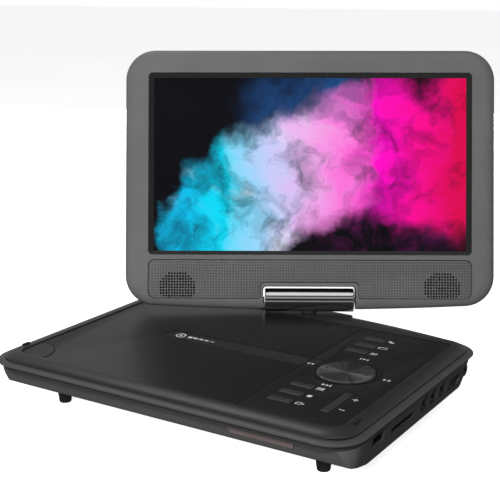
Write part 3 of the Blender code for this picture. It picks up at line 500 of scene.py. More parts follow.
def base_outline(grow, radius, front=None, segments=14, bow_steps=24):
    """The deck's outline moved out by grow; away from the deck its back edge bows out round the hinge."""
    low = LID_LOW.y - grow if front is None else front
    bow = BACK_BOW * min(max((grow - 2.0) / 7.0, 0.0), 1.0)
    points = rectangle(LID_LOW.x - grow, PANEL_HIGH.x + grow, low, LID_HIGH.y + grow, radius, segments)
    reach = PANEL_HIGH.x + grow - radius
    middle = 3 * (segments + 1)
    back = []
    for k in range(1, bow_steps):
        x = reach - 2 * reach * k / bow_steps
        back.append(Vector((x, LID_HIGH.y + grow + bow * (1 - (x / reach) ** 2))))
    return points[:middle] + back + points[middle:]


def screen_outline(inset, bow_steps=16, segments=16):
    """The screen's outline: bowed bottom edge and four round corners, moved in by inset."""
    reach = BEZEL_HIGH.x - SCREEN_R
    radius = SCREEN_R - inset
    points = []
    for k in range(1, bow_steps):
        x = -reach + 2 * reach * k / bow_steps
        points.append(Vector((x, BEZEL_LOW.z + inset + SCREEN_BOW * (x / reach) ** 2)))
    low = BEZEL_LOW.z + SCREEN_BOW + SCREEN_R
    high = BEZEL_HIGH.z - SCREEN_R
    for centre, first in (((reach, low), -90), ((reach, high), 0), ((-reach, high), 90), ((-reach, low), 180)):
        for k in range(segments + 1):
            a = radians(first + 90 * k / segments)
            points.append(Vector((centre[0] + radius * cos(a), centre[1] + radius * sin(a))))
    return points


def stepped_outline(half, low, high, radius, notch_half, notch_top):
    """A rounded rectangle whose lower edge steps up over the barrel."""
    return rounded([
        (-half, low, radius), (-notch_half, low, 1.5), (-notch_half, notch_top, 3.0),
        (notch_half, notch_top, 3.0), (notch_half, low, 1.5), (half, low, radius),
        (half, high, radius), (-half, high, radius),
    ], 8)


def smooth_levels(levels, steps=4):
    """More levels between the given ones, on a curve through them all."""
    knots = np.array(levels, float)
    padded = np.vstack([2 * knots[0] - knots[1], knots, 2 * knots[-1] - knots[-2]])
    out = []
    for a, b, c, d in zip(padded, padded[1:], padded[2:], padded[3:]):
        for k in range(steps):
            t = k / steps
            cubic = (3 * b - a - 3 * c + d) * t**3
            out.append(0.5 * (2 * b + (c - a) * t + (2 * a - 5 * b + 4 * c - d) * t**2 + cubic))
    return [tuple(row) for row in out] + [tuple(knots[-1])]


def rolled(start, face, reach, steps):
    """(level, inset) pairs of a quarter turn from a wall at start to a flat face."""
    turns = [pi / 2 * k / steps for k in range(steps + 1)]
    return [(start + (face - start) * sin(a), reach * (1 - cos(a))) for a in turns]


def eased(low, high, radius):
    """(level, inset) pairs of a wall whose top edge is rounded to this radius."""
    return [(low, 0.0)] + rolled(high - radius, high, radius, 4)


# Solids, in millimetres.

def in_plane(outline, level, plane):
    """Outline points lifted to a level: plane XY goes up Z, XZ goes along Y, YZ along X."""
    if plane == "XY":
        return [Vector((p[0], p[1], level)) for p in outline]
    if plane == "XZ":
        return [Vector((p[0], level, p[1])) for p in outline]
    return [Vector((level, p[0], p[1])) for p in outline]


def bridge(bm, loops):
    """Faces between each loop and the next."""
    faces = []
    for here, there in zip(loops, loops[1:]):
        for i in range(len(here)):
            j = (i + 1) % len(here)
            faces.append(bm.faces.new((here[i], here[j], there[j], there[i])))
    return faces


def loft(sections, bm=None):
    """A closed solid through loops of equal length, capped at both ends."""
    bm = bm or bmesh.new()
    rings = [[bm.verts.new(p) for p in section] for section in sections]
    faces = bridge(bm, rings) + [bm.faces.new(rings[0]), bm.faces.new(rings[-1])]
    bmesh.ops.recalc_face_normals(bm, faces=faces)
    return bm


def shaped(outline_of, levels, plane="XY"):
    """A solid through outline_of(inset) at each (level, inset) pair."""
    return loft([in_plane(outline_of(inset), level, plane) for level, inset in levels])


def prism(outline, low, high, plane="XY", bm=None):
    return loft([in_plane(outline, low, plane), in_plane(outline, high, plane)], bm)


def ring(outer, inner, low, high, plane="XY", inner_high=None):
    """A closed band between two outlines with the same number of points."""
    bm = bmesh.new()
    sunk = high if inner_high is None else inner_high
    loops = [[bm.verts.new(p) for p in in_plane(outline, level, plane)]
             for outline, level in ((outer, low), (outer, high), (inner, sunk), (inner, low))]
    bmesh.ops.recalc_face_normals(bm, faces=bridge(bm, loops + loops[:1]))
    return bm


def box(x0, x1, y0, y1, z0, z1, bm=None):
    return prism(rectangle(x0, x1, y0, y1), z0, z1, bm=bm)


def slab(low, high, z0, z1, radius, top, plane="XY"):
    """A rounded rectangular solid between 2-D corners, with an eased top edge."""
    return shaped(lambda inset: around(low, high, -inset, max(radius - inset, 0.05), 6),
                  eased(z0, z1, top), plane)


def turned(profile, centre=(0.0, 0.0), plane="XY", segments=64, bm=None):
    """A solid of revolution: profile is (radius, level) pairs, all with a radius above zero."""
    return loft([in_plane(circle(*centre, r, segments), level, plane) for r, level in profile], bm)


def base_loft(levels):
    """A solid through the base's outline: rows of level, growth, corner radius and perhaps the front."""
    return loft([in_plane(base_outline(*row), level, "XY") for level, *row in levels])


def raw_object(name, bm, matrix=DECK):
    bmesh.ops.scale(bm, verts=bm.verts, vec=(MM, MM, MM))
    mesh = bpy.data.meshes.new(name)
    bm.to_mesh(mesh)
    bm.free()
    obj = bpy.data.objects.new(name, mesh)
    bpy.context.scene.collection.objects.link(obj)
    obj.matrix_world = matrix
    return obj


def combine(obj, bm, operation="DIFFERENCE"):
    """Cuts a solid out of an object, joins it or keeps the common part, and applies the result."""
    tool = raw_object("tool", bm, obj.matrix_world)
    modifier = obj.modifiers.new("combine", "BOOLEAN")
    modifier.operation = operation
    modifier.object = tool
    modifier.solver = "EXACT"
    bpy.context.view_layer.update()
    result = bpy.data.meshes.new_from_object(obj.evaluated_get(bpy.context.evaluated_depsgraph_get()))
    obj.modifiers.clear()
    obj.data = result
    bpy.data.objects.remove(tool)


def piece(obj, look, body, *nodes):
    """Gives a finished shape its material and body, and says which CAD nodes it stands for."""
    obj.data.materials.clear()
    obj.data.materials.append(LOOKS[look])
    obj.data.shade_smooth()
    obj.data.set_sharp_from_angle(angle=SHARP)
    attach(obj, body)
    if nodes:
        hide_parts(*nodes)


# Base shells.

FEET = ("foot_front_left", "foot_front_right", "foot_back_left", "foot_back_right")
JACKS = ("headphone_jack", "av_out_jack", "av_in_jack", "dc_jack")
KEYS = {"key_upper_1": "key_u1", "key_upper_2": "key_u2", "key_upper_3": "key_u3",
        "key_lower_1": "key_l1", "key_lower_2": "key_l2", "key_lower_3": "key_l3"}
# Rows of height, growth from the deck's outline, and corner radius.
LIP_LEVELS = (
    (-2.95, 10.8, 18.0), (-3.0, 12.7, 19.6), (-3.5, 14.6, 20.7), (-4.2, 15.2, 21.0), (-4.9, 14.8, 20.8),
    (-5.35, 13.7, 20.0), (-5.9, 12.4, 19.2), (-7.0, 11.8, 19.0), (-8.3, 11.8, 19.0), (-8.7, 12.2, 19.0))
WALL_LEVELS = (
    (-9.1, 12.4, 19.0), (-16.0, 11.0, 18.2), (-24.0, 8.9, 17.0), (-26.2, 8.1, 16.5), (-27.5, 6.7, 15.4),
    (-28.0, 4.6, 14.0))
RIM_SKIRT = ((-4.3, 8.6, 14.0), (-2.31, 8.6, 14.0), (-2.3, 10.4, 17.0), (-2.05, 10.45, 17.0))
RIM_LEVELS = (
    (-1.8, 10.35, 17.0), (-1.0, 9.5, 16.4), (0.0, 7.0, 14.4), (0.6, 4.4, 12.0),
    (0.8, 2.4, 10.2), (0.72, 1.2, 9.2))
# The space inside: height, growth, corner radius and how far forward it goes.
INSIDE = ((-25.4, 4.8, 12.0, -151.0), (-19.0, 6.4, 12.0, -172.0), (-7.0, 9.2, 12.0, -182.4),
          (-4.8, 9.2, 12.0, -186.7), (-1.3, 9.2, 12.0, -186.7))
# The slope of the lower front wall, from above, with the waste in front of and below it.
FRONT_SLOPE = (
    (-186.6, -8.6), (-182.6, -14.6), (-179.9, -18.9), (-178.6, -20.3), (-176.6, -21.2), (-148.0, -28.6),
    (-148.0, -45.0), (-230.0, -45.0), (-230.0, -8.6))
# How far in and out the openings of the right wall are cut.
WALL_NEAR, WALL_FAR = 117.0, 135.0
BOSS_R = 5.4
BAY_R = 62.5
BAY_WALL = 1.6


def housing_room(low, high):
    """The gap in the back edge that the hinge's cover fills."""
    return box(HOUSING_LOW.x - CLEAR, HOUSING_HIGH.x + CLEAR, HOUSING_LOW.y - CLEAR, HOUSING_HIGH.y + 3.0,
               low, high)


def hinge_bulge():
    """The swelling of the lower shell behind the hinge's cover."""
    reach, back = HOUSING_HIGH.x + 2.4, HOUSING_HIGH.y + 1.0
    rows = ((3, 4.0, SHELL_LOW.z + 0.5), (1, 4.6, SHELL_LOW.z + 2.0), (0, 5.0, SHELL_LOW.z + 4.5),
            (0, 5.0, -9.0))
    return loft([in_plane(rectangle(-reach + inset, reach - inset, LID_HIGH.y, back - inset, radius),
                          level, "XY")
                 for inset, radius, level in rows])


def lower_shell():
    obj = raw_object("lower_casing", base_loft(smooth_levels(LIP_LEVELS, 3) + smooth_levels(WALL_LEVELS, 3)))
    combine(obj, hinge_bulge(), "UNION")
    combine(obj, prism(FRONT_SLOPE, -140.0, 140.0, "YZ"))
    combine(obj, base_loft(INSIDE))
    combine(obj, box(HOUSING_LOW.x + 1, HOUSING_HIGH.x - 1, -12.0, HOUSING_HIGH.y - 2, -24.0, -5.0))
    combine(obj, housing_room(HOUSING_LOW.z - CLEAR, 2.0))
    bosses = bmesh.new()
    for node in FEET:
        turned([(BOSS_R, SHELL_LOW.z), (BOSS_R, -24.6)], middle(node).xy, segments=40, bm=bosses)
    combine(obj, bosses, "UNION")
    combine(obj, wall_openings())
    combine(obj, battery_door_groove())
    piece(obj, "lower", "base", "bottom_shell")


def wall_openings():
    """The openings in the right wall, and the window's in the front wall."""
    bm = bmesh.new()
    for node, half_y, half_z, radius in (("usb_socket", 8.0, 3.6, 0.8), ("card_socket", 16.0, 2.0, 1.0)):
        centre = middle(node).yz
        half = Vector((half_y, half_z))
        prism(around(centre - half, centre + half, 0.0, radius, 5), WALL_NEAR, WALL_FAR, "YZ", bm)
    for node in JACKS:
        turned([(5.3, WALL_NEAR), (5.3, WALL_FAR)], middle(node).yz, "YZ", 48, bm)
    switch = middle("power_switch")
    prism(rectangle(switch.y - 7.3, switch.y + 12.3, switch.z - 4.0, switch.z + 4.0, 2.4, 8),
          WALL_NEAR, WALL_FAR, "YZ", bm)
    low, high = extent("ir_window")
    return prism(around(low.xz, high.xz, 0.4, 2.4, 8), -200.0, -174.0, "XZ", bm)


def battery_door_groove():
    """The thin outline of the battery door, in the underside."""
    low, high = extent("battery_pack")
    outer = rectangle(low.x - 4, high.x + 4, low.y - 2, high.y + 4, 6.0)
    inner = rectangle(low.x - 3.4, high.x + 3.4, low.y - 1.4, high.y + 3.4, 5.4)
    return ring(outer, inner, SHELL_LOW.z - 2, SHELL_LOW.z + 0.6)


def rim():
    """The upper shell: a rounded rim, the floor under the lid and the panel, and the disc bay."""
    obj = raw_object("upper_casing", base_loft(list(RIM_SKIRT) + smooth_levels(RIM_LEVELS)))
    disc = middle("disc_hub").xy
    outer = BAY_R + BAY_WALL
    combine(obj, turned([(outer, -9.4), (outer, -3.8)], disc, segments=96), "UNION")
    combine(obj, shaped(lambda inset: base_outline(0.45 - inset, DECK_R + 0.45 - inset),
                        ((-2.3, 0.0), (0.35, 0.0), (0.6, -0.2), (0.85, -0.55), (5.0, -0.55))))
    holes = turned([(BAY_R, -8.0), (BAY_R, 0.0)], disc, segments=96)
    prism(rectangle(54.0, 112.5, -174.0, -17.0, 4.0), -6.0, 0.0, bm=holes)
    prism(rectangle(-111.5, -90.0, -172.0, -150.0, 3.0), -6.0, 0.0, bm=holes)
    combine(obj, holes)
    low, high = extent("release_button")
    combine(obj, box(low.x - 0.2, high.x + 0.9, low.y - 0.2, high.y + 0.9, -3.2, 0.0))
    combine(obj, turned([(15.7, -12.0), (15.7, -6.0)], disc))
    sled, slide = middle("laser_pickup"), JOINTS["pickup_slide"]["range_m"][1] / MM
    travel = rectangle(sled.x - 7.0, sled.x + 7.0, sled.y - slide - 7.0, sled.y + 5.5, 2.0)
    combine(obj, prism(travel, -12.0, -6.0))
    combine(obj, housing_room(-6.0, 5.0))
    piece(obj, "rim", "base", "top_shell")


# Deck plates.

# The sunk strip on the lid and the panel, up to the ring round the navigation disc.
STRIP = ((-60.0, -99.5, 5.0), (60.0, -101.5, 0.0), (60.0, -86.0, 0.0), (-58.0, -86.5, 6.0))
STRIP_DEPTH = 0.35
STRIP_GAP = 0.25
STRIP_TOP = -STRIP_DEPTH + 0.06
RING_R = 22.6
CORNER_KEY_R = 18.5


def plate(name, x0, x1, left_radius, right_radius):
    """A deck plate with eased top edges."""
    def outline_of(inset):
        y0, y1 = LID_LOW.y + inset, LID_HIGH.y - inset
        left, right = max(left_radius - inset, 0.05), max(right_radius - inset, 0.05)
        return rounded([(x0 + inset, y0, left), (x1 - inset, y0, right), (x1 - inset, y1, right),
                        (x0 + inset, y1, left)], 14)
    return raw_object(name, shaped(outline_of, eased(-PLATE_T, 0.0, 0.35)))


def corner_key_centre():
    """The middle of the corner key's round end, which touches the key's two free edges."""
    high = extent("release_button")[1]
    return Vector((high.x - CORNER_KEY_R, high.y - CORNER_KEY_R))


def strip_low(x):
    """The strip's lower edge, which drops a little to the right."""
    (x0, y0, _), (x1, y1, _) = STRIP[:2]
    return y0 + (y1 - y0) * (x - x0) / (x1 - x0) + STRIP_GAP


def disc_lid():
    obj = plate("lid_plate", LID_LOW.x, LID_HIGH.x, DECK_R, 0.6)
    edge = CORNER_KEY_R + CLEAR
    bite = [(edge, -6.0), (edge, -0.35), (edge + 0.1, -0.15), (edge + 0.35, 0.0), (edge + 0.6, 3.0)]
    combine(obj, turned(bite, corner_key_centre(), segments=96))
    combine(obj, prism(rounded(STRIP), -STRIP_DEPTH, 2.0))
    piece(obj, "deck", "lid", "disc_lid")
    end = LID_HIGH.x - 0.5
    outline = rounded([
        (STRIP[0][0] + STRIP_GAP, STRIP[0][1] + STRIP_GAP, 5.0), (end, strip_low(LID_HIGH.x), 0.0),
        (end, STRIP[2][1] - STRIP_GAP, 0.0), (STRIP[3][0] + STRIP_GAP, STRIP[3][1] - STRIP_GAP, 6.0)])
    piece(raw_object("lid_strip", prism(outline, -STRIP_DEPTH, STRIP_TOP)), "strip", "lid")


def control_panel():
    obj = plate("panel_plate", PANEL_LOW.x, PANEL_HIGH.x, 0.6, DECK_R)
    nav = middle("nav_disc").xy
    holes = bmesh.new()
    half = Vector((7.75, 2.95))
    for node in KEYS:
        centre = middle(node).xy
        prism(around(centre - half, centre + half, 0.0, 0.5, 4), -6.0, 3.0, bm=holes)
    low, high = extent("volume_rocker")
    prism(around(low.xy, high.xy, 0.25, 0.6, 4), -6.0, 3.0, bm=holes)
    combine(obj, holes)
    combine(obj, prism(rounded(STRIP), -STRIP_DEPTH, 2.0))
    combine(obj, turned([(RING_R - 0.2, -0.5), (RING_R, -0.3), (RING_R, -0.1), (RING_R + 0.25, 0.0),
                         (RING_R + 0.4, 3.0)], nav, segments=96))
    combine(obj, turned([(18.8, -6.0), (18.8, 3.0)], nav, segments=96))
    piece(obj, "deck", "base", "control_panel")
    outline = rectangle(PANEL_LOW.x + 0.5, nav.x - RING_R + 1.4, strip_low(PANEL_LOW.x),
                        STRIP[2][1] - STRIP_GAP)
    lay = raw_object("panel_strip", prism(outline, -STRIP_DEPTH, STRIP_TOP))
    combine(lay, turned([(RING_R + 0.3, -3.0), (RING_R + 0.3, 3.0)], nav, segments=96))
    piece(lay, "strip", "base")
    groove = ring(circle(*nav, RING_R - 1.7, 96), circle(*nav, 19.4, 96), -0.5, -0.15)
    piece(raw_object("nav_groove_ring", groove), "deck", "base")


# Controls.

def keys():
    edge = 0.9
    for node, body in KEYS.items():
        low, high = extent(node)
        cap = slab((low.x + edge, low.y + edge), (high.x - edge, high.y - edge), low.z, high.z, 0.6, 0.35)
        obj = raw_object(node + "_cap", cap)
        combine(obj, slab(low.xy, high.xy, low.z, low.z + 0.9, 0.6, 0.1), "UNION")
        piece(obj, "key", body, node)


def navigation():
    low, high = extent("nav_disc")
    centre = middle("nav_disc").xy
    radius = (high.x - low.x) / 2
    profile = [(radius - 2.0, low.z), (radius, low.z + 0.3), (radius, -0.35)]
    profile += [(radius - 0.8 + 0.8 * cos(a), -0.35 + 0.65 * sin(a)) for a in (pi / 8, pi / 4, 3 * pi / 8)]
    profile += [(radius - 0.9, high.z), (radius - 1.6, 0.26), (radius - 4.0, 0.15), (9.0, 0.05), (5.0, 0.0),
                (0.6, 0.0)]
    on_axis = DECK @ Matrix.Translation(centre.to_3d() * MM)
    obj = raw_object("navigation_disc", turned(profile, segments=96), on_axis)
    piece(obj, "spun", "nav", "nav_disc")
    for quarter in range(4):
        turn = Matrix.Rotation(quarter * pi / 2, 2)
        points = [turn @ Vector(p) + centre for p in ((-1.1, 12.6), (1.1, 12.6), (0.0, 14.4))]
        piece(raw_object(f"nav_mark_{quarter + 1}", prism(points, 0.16, 0.24)), "dark_print", "nav")


def rocker():
    low, high = extent("volume_rocker")
    centre = (low.y + high.y) / 2

    def section(inset):
        y0, y1, drop = low.y + inset, high.y - inset, inset * 0.9
        return rounded([(y0, low.z + 0.6, 0.0), (centre, low.z, 0.0), (y1, low.z + 0.6, 0.0),
                        (y1, high.z - drop, 0.3), (centre, high.z - 0.25 - drop, 6.0), (y0, high.z - drop, 0.3)], 6)
    width = ((low.x, 0.3), (low.x + 0.1, 0.12), (low.x + 0.3, 0.0), (high.x - 0.3, 0.0), (high.x - 0.1, 0.12),
             (high.x, 0.3))
    piece(raw_object("volume_bar", shaped(section, width, "YZ")), "key", "volume", "volume_rocker")


def release_key():
    low = extent("release_button")[0]
    top = 0.1
    round_end = turned([(CORNER_KEY_R - inset, z) for z, inset in eased(-PLATE_T, top, 0.35)],
                       corner_key_centre(), segments=96)
    obj = raw_object("corner_key", round_end)

    def corner(inset):
        x, y = low.x + inset, low.y + inset
        return rounded([(x, y, DECK_R - inset), (-80.0, y, 0.0), (-80.0, -140.0, 0.0), (x, -140.0, 0.0)], 14)
    combine(obj, shaped(corner, eased(-8.0, top, 0.35)), "INTERSECT")
    combine(obj, box(-109.0, -103.0, -167.5, -161.5, -3.6, -1.0), "UNION")
    piece(obj, "deck", "release", "release_button")
    turn = Matrix.Rotation(radians(45), 2)
    spot = low.xy + Vector((8.0, 8.0))
    triangle = ((-1.4, -0.35), (1.4, -0.35), (0.0, 1.2))
    for number, shape in enumerate((triangle, bar(-1.4, 1.4, -1.2, -0.8)), 1):
        points = [turn @ Vector(p) + spot for p in shape]
        piece(raw_object(f"release_mark_{number}", prism(points, top, top + 0.03)), "key", "release")


def power_switch():
    low, high = extent("power_switch")
    y0, y1 = low.y + 7.1, low.y + 16.7
    z0, z1 = low.z + 1.3, high.z - 1.3
    def cap(inset):
        return rectangle(y0 + inset, y1 - inset, z0 + inset, z1 - inset, 1.4 - inset, 6)
    obj = raw_object("slide_switch", shaped(cap, eased(low.x + 1.0, high.x, 0.5), "YZ"))
    combine(obj, box(low.x, low.x + 2.0, low.y, high.y, low.z, high.z), "UNION")
    grips = bmesh.new()
    for k in range(4):
        y = y0 + 1.6 + 1.9 * k
        box(high.x - 0.7, high.x + 2.0, y, y + 0.8, z0 - 2.0, z1 + 2.0, grips)
    combine(obj, grips)
    piece(obj, "key", "power", "power_switch")


# Sockets, window, feet and trim.

def usb_socket():
    low, high = extent("usb_socket")
    obj = raw_object("usb_shell", slab(low.yz, high.yz, low.x, high.x, 0.7, 0.2, "YZ"))
    combine(obj, prism(around(low.yz, high.yz, -0.6, 0.4, 5), low.x + 2, 140.0, "YZ"))
    combine(obj, box(low.x + 1, high.x - 1.2, low.y + 1.8, high.y - 1.8, high.z - 3.0, high.z - 1.3), "UNION")
    piece(obj, "steel", "base", "usb_socket")


def jacks():
    for node in JACKS:
        low, high = extent(node)
        at = middle(node).yz
        radius = (high.y - low.y) / 2
        profile = [(radius, low.x), (radius, high.x - 0.5), (radius - 0.2, high.x - 0.15),
                   (radius - 0.6, high.x)]
        obj = raw_object(node + "_body", turned(profile, at, "YZ"))
        combine(obj, turned([(2.9, low.x + 2), (2.9, high.x - 0.4), (3.3, high.x + 0.5)], at, "YZ", 48))
        piece(obj, "socket", "base", node)
        sleeve = ring(circle(*at, 2.85, 48), circle(*at, 2.15, 48), low.x + 2.2, high.x - 0.3, "YZ")
        piece(raw_object(node + "_sleeve", sleeve), "steel", "base")


def ir_window():
    low, high = extent("ir_window")
    obj = raw_object("infrared_window", prism(around(low.xz, high.xz, 0.0, 2.2), high.y, low.y, "XZ"))
    slope = ((-210.0, -9.0), (-186.2, -9.0), (-182.2, -16.0), (-210.0, -16.0))
    combine(obj, prism(slope, 40.0, 100.0, "YZ"))
    piece(obj, "window", "base", "ir_window")


def feet_and_bumpers():
    for node in FEET:
        low, high = extent(node)
        top = (high.x - low.x) / 2
        tip = top - 0.8
        profile = [(tip - 0.9, low.z), (tip - 0.4, low.z + 0.1), (tip - 0.1, low.z + 0.4), (tip, low.z + 0.9),
                   (top - 0.1, high.z - 1.6), (top, high.z - 1.2), (top, high.z)]
        piece(raw_object(node + "_pad", turned(profile, middle(node).xy)), "rubber", "base", node)
    for node in ("bumper_left", "bumper_right"):
        low, high = extent(node)
        pad = slab(low.xy, high.xy, low.z, high.z, 0.7, 0.4)
        piece(raw_object(node + "_pad", pad), "rubber", "base", node)


def cross_head(name, centre, radius, face, depth, body, matrix, plane, *nodes):
    """A screw head with a cross recess; it faces towards the smaller level."""
    profile = [(radius * 0.75, face), (radius * 0.93, face + 0.12), (radius, face + 0.35),
               (radius, face + depth)]
    obj = raw_object(name, turned(profile, centre, plane, 40), matrix)
    arm, width = radius * 0.55, radius * 0.13
    for along, across in ((arm, width), (width, arm)):
        outline = rectangle(centre[0] - along, centre[0] + along, centre[1] - across, centre[1] + across,
                            width * 0.6, 4)
        combine(obj, prism(outline, face - 1.0, face + 0.6, plane))
    piece(obj, "steel", body, *nodes)


def base_screws():
    for node in ("base_screw_front", "base_screw_left", "base_screw_right"):
        low, high = extent(node)
        cross_head(node + "_head", middle(node).xy, (high.x - low.x) / 2, low.z, high.z - low.z, "base", DECK,
                   "XY", node)


# Printed marks: plain shapes in place of lettering.

MARK_SCALE = 1.25
MARK_T = 0.03


def mark(name, centre, shapes):
    """Flat printed shapes, each a list of points round centre, laid on the deck."""
    bm = bmesh.new()
    for shape in shapes:
        prism([Vector(p) * MARK_SCALE + Vector(centre) for p in shape], 0.0, MARK_T, bm=bm)
    piece(raw_object(name, bm), "print", "base")


def bar(x0, x1, y0, y1):
    return [(x0, y0), (x1, y0), (x1, y1), (x0, y1)]


def arrow(x, size, way=1):
    return [(x, -size * way), (x + 1.5 * size * way, 0.0), (x, size * way)]


def hollow_bar(w, h, t):
    return [bar(-w, w, -h, -h + t), bar(-w, w, h - t, h), bar(-w, -w + t, -h + t, h - t),
            bar(w - t, w, -h + t, h - t)]


def three_bars(half):
    return [bar(-2, 2, y - half, y + half) for y in (-1.1, 0.0, 1.1)]


def marks():
    beside = {node: (extent(node)[1].x + 3.8, middle(node).y) for node in KEYS}
    nav, volume = middle("nav_disc"), middle("volume_rocker")
    side = volume.x + 7.5
    mark("mark_mode", beside["key_upper_1"], [bar(-2, 0.6, -0.2, 1.2), bar(-0.6, 2, -1.2, -0.5)])
    mark("mark_display", beside["key_upper_2"], hollow_bar(2.4, 1.3, 0.4))
    mark("mark_setup", beside["key_upper_3"], three_bars(0.2) + [bar(-1.2, -0.5, 0.3, 0.8)])
    mark("mark_menu", beside["key_lower_1"], three_bars(0.25))
    mark("mark_stop", beside["key_lower_2"], [bar(-1.2, 1.2, -1.2, 1.2)])
    mark("mark_source", beside["key_lower_3"], hollow_bar(1.5, 1.3, 0.4) + [bar(1.9, 2.8, -0.5, 0.5)])
    mark("mark_previous", (nav.x, nav.y + 26.0),
         [bar(-2.6, -2.0, -1.1, 1.1), arrow(0.0, 1.1, -1), arrow(2.0, 1.1, -1)])
    mark("mark_next", (nav.x, nav.y - 26.0), [bar(2.0, 2.6, -1.1, 1.1), arrow(0.0, 1.1), arrow(-2.0, 1.1)])
    mark("mark_back", (nav.x - 26.0, nav.y + 1.5), [arrow(-0.3, 1.1, -1), arrow(2.0, 1.1, -1)])
    mark("mark_forward", (nav.x + 27.5, nav.y), [arrow(0.3, 1.1), arrow(-2.0, 1.1)])
    mark("mark_louder", (side, volume.y + 8.5),
         [bar(-1.4, 1.4, -0.25, 0.25), bar(-0.25, 0.25, 0.25, 1.4), bar(-0.25, 0.25, -1.4, -0.25)])
    mark("mark_softer", (side, volume.y - 8.5), [bar(-1.4, 1.4, -0.25, 0.25)])


def lid_mark():
    """A plain disc and play symbol with a short row of bars, on the lid's strip."""
    x, y, low, high = -47.0, -93.2, STRIP_TOP, STRIP_TOP + 0.04
    bm = ring(circle(x, y, 3.6, 48), circle(x, y, 2.7, 48), low, high)
    prism([(x - 0.9, y - 1.3), (x + 1.5, y), (x - 0.9, y + 1.3)], low, high, bm=bm)
    for k in range(5):
        left, half = x + 6.0 + 4.4 * k, 1.5 - 0.25 * k
        prism(rectangle(left, left + 3.4, y - half, y + half, 0.5, 5), low, high, bm=bm)
    piece(raw_object("lid_mark", bm), "print", "lid")


# Hinge.

def hinge_cover():
    low, high = HOUSING_LOW, HOUSING_HIGH
    obj = raw_object("hinge_cover", slab(low.xy, high.xy, low.z, high.z, 3.0, 0.8))
    combine(obj, box(low.x + 2, high.x - 2, low.y + 2, high.y - 1, -12.0, -3.0))
    combine(obj, turned([(5.6, -12.0), (5.6, 3.0)]))
    piece(obj, "black", "base", "hinge_housing")


def barrel():
    half, radius = BARREL_HALF, BARREL_R
    right = [(radius - 1.0, half), (radius - 0.5, half - 0.1), (radius - 0.15, half - 0.4), (radius, half - 0.9),
             (radius, half - 1.9), (radius - 0.18, half - 2.0), (radius - 0.18, half - 2.3), (radius, half - 2.4)]
    profile = [(r, -x) for r, x in right] + [(r, x) for r, x in reversed(right)]
    obj = raw_object("chrome_barrel", turned(profile, plane="YZ", segments=128), HINGE)
    piece(obj, "chrome", "swivel", "hinge_barrel")
    collar = turned([(5.2, BARREL_LOW.z - 0.2), (5.4, BARREL_LOW.z), (5.4, -7.4), (5.2, -7.2)])
    piece(raw_object("hinge_collar", collar, HINGE), "black", "swivel")


# Screen.

def cavity(y0, y1):
    outline = stepped_outline(BEZEL_HIGH.x - 4.8, BEZEL_LOW.z + 7.6, BEZEL_HIGH.z - 4.8, 15.0, 37.0,
                              NOTCH_TOP + 2.4)
    return prism(outline, y0, y1, "XZ")


def notch():
    """The clear space over and beside the barrel, with a softly rounded mouth."""
    def outline_of(inset):
        return rectangle(-NOTCH_HALF + inset, NOTCH_HALF - inset, -20.0, NOTCH_TOP - inset, 2.5, 8)
    levels = ((-20.0, -0.5), (FACE - 0.02, -0.5), (FACE + 0.15, -0.2), (FACE + 0.5, 0.0), (20.0, 0.0))
    return shaped(outline_of, levels, "XZ")


def pin_pocket():
    """Room for the tilt pins and the brackets' collars."""
    half = [(2.7, 37.3), (3.9, 37.35), (3.9, 40.65), (2.7, 40.7), (2.7, 45.7)]
    return turned([(r, -x) for r, x in reversed(half)] + half, plane="YZ", segments=40)


def grille_outline(grow):
    low, high = GRILLE_LOW.z + 0.5, GRILLE_HIGH.z - 1.9
    return stepped_outline(115.9 + grow, low - grow, high + grow, 5.0, 35.5 - grow, 12.9 - grow)


def window_outline(inset):
    return rectangle(-WINDOW_HALF + inset, WINDOW_HALF - inset, WINDOW_LOW + inset, WINDOW_HIGH - inset,
                     max(3.0 - inset * 0.6, 0.5), 8)


def bezel():
    front = shaped(screen_outline, rolled(BEZEL_HIGH.y, FACE, 9.5, 14), "XZ")
    obj = raw_object("screen_bezel", front, SCREEN)
    combine(obj, cavity(FACE + BEZEL_T, 5.0))
    before, flush, edge, inside = FACE - 1.0, FACE - 0.01, FACE + 0.12, 0.0
    mouths = (
        (window_outline, ((before, -0.25), (flush, -0.25), (edge, -0.1), (FACE + 0.35, 0.0), (inside, 0.0))),
        (grille_outline, ((before, 0.55), (flush, 0.55), (edge, 0.4), (FACE + 0.4, 0.3), (inside, 0.3))))
    for outline_of, levels in mouths:
        combine(obj, shaped(outline_of, levels, "XZ"))
    combine(obj, notch())
    combine(obj, pin_pocket())
    piece(obj, "bezel", "screen", "front_bezel")


def speaker_holes():
    """A round cluster of square holes over each speaker."""
    bm = bmesh.new()
    centre_z = round((GRILLE_LOW.z + 8.1) / HOLE_PITCH) * HOLE_PITCH + HOLE_PITCH / 2
    spots = [(x, z) for x in range(-6, 7) for z in range(-4, 6) if np.hypot(x, z) * HOLE_PITCH <= CLUSTER_R]
    for side in (-1, 1):
        for column, row in spots:
            x, z = side * CLUSTER_X + column * HOLE_PITCH, centre_z + row * HOLE_PITCH
            box(x - HOLE / 2, x + HOLE / 2, FACE - 3.0, 0.0, z - HOLE / 2, z + HOLE / 2, bm)
    return bm


def grille():
    front = FACE + CLEAR
    levels = [(-3.9, 0.0), (front + 0.35, 0.0), (front + 0.1, -0.12), (front, -0.35)]
    obj = raw_object("speaker_cover", shaped(grille_outline, levels, "XZ"), SCREEN)
    flange = stepped_outline(118.0, GRILLE_LOW.z, GRILLE_HIGH.z, 5.0, 42.0, 14.5)
    combine(obj, prism(flange, FACE + BEZEL_T + CLEAR, GRILLE_HIGH.y, "XZ"), "UNION")
    combine(obj, speaker_holes())
    piece(obj, "grille", "screen", "speaker_grille")


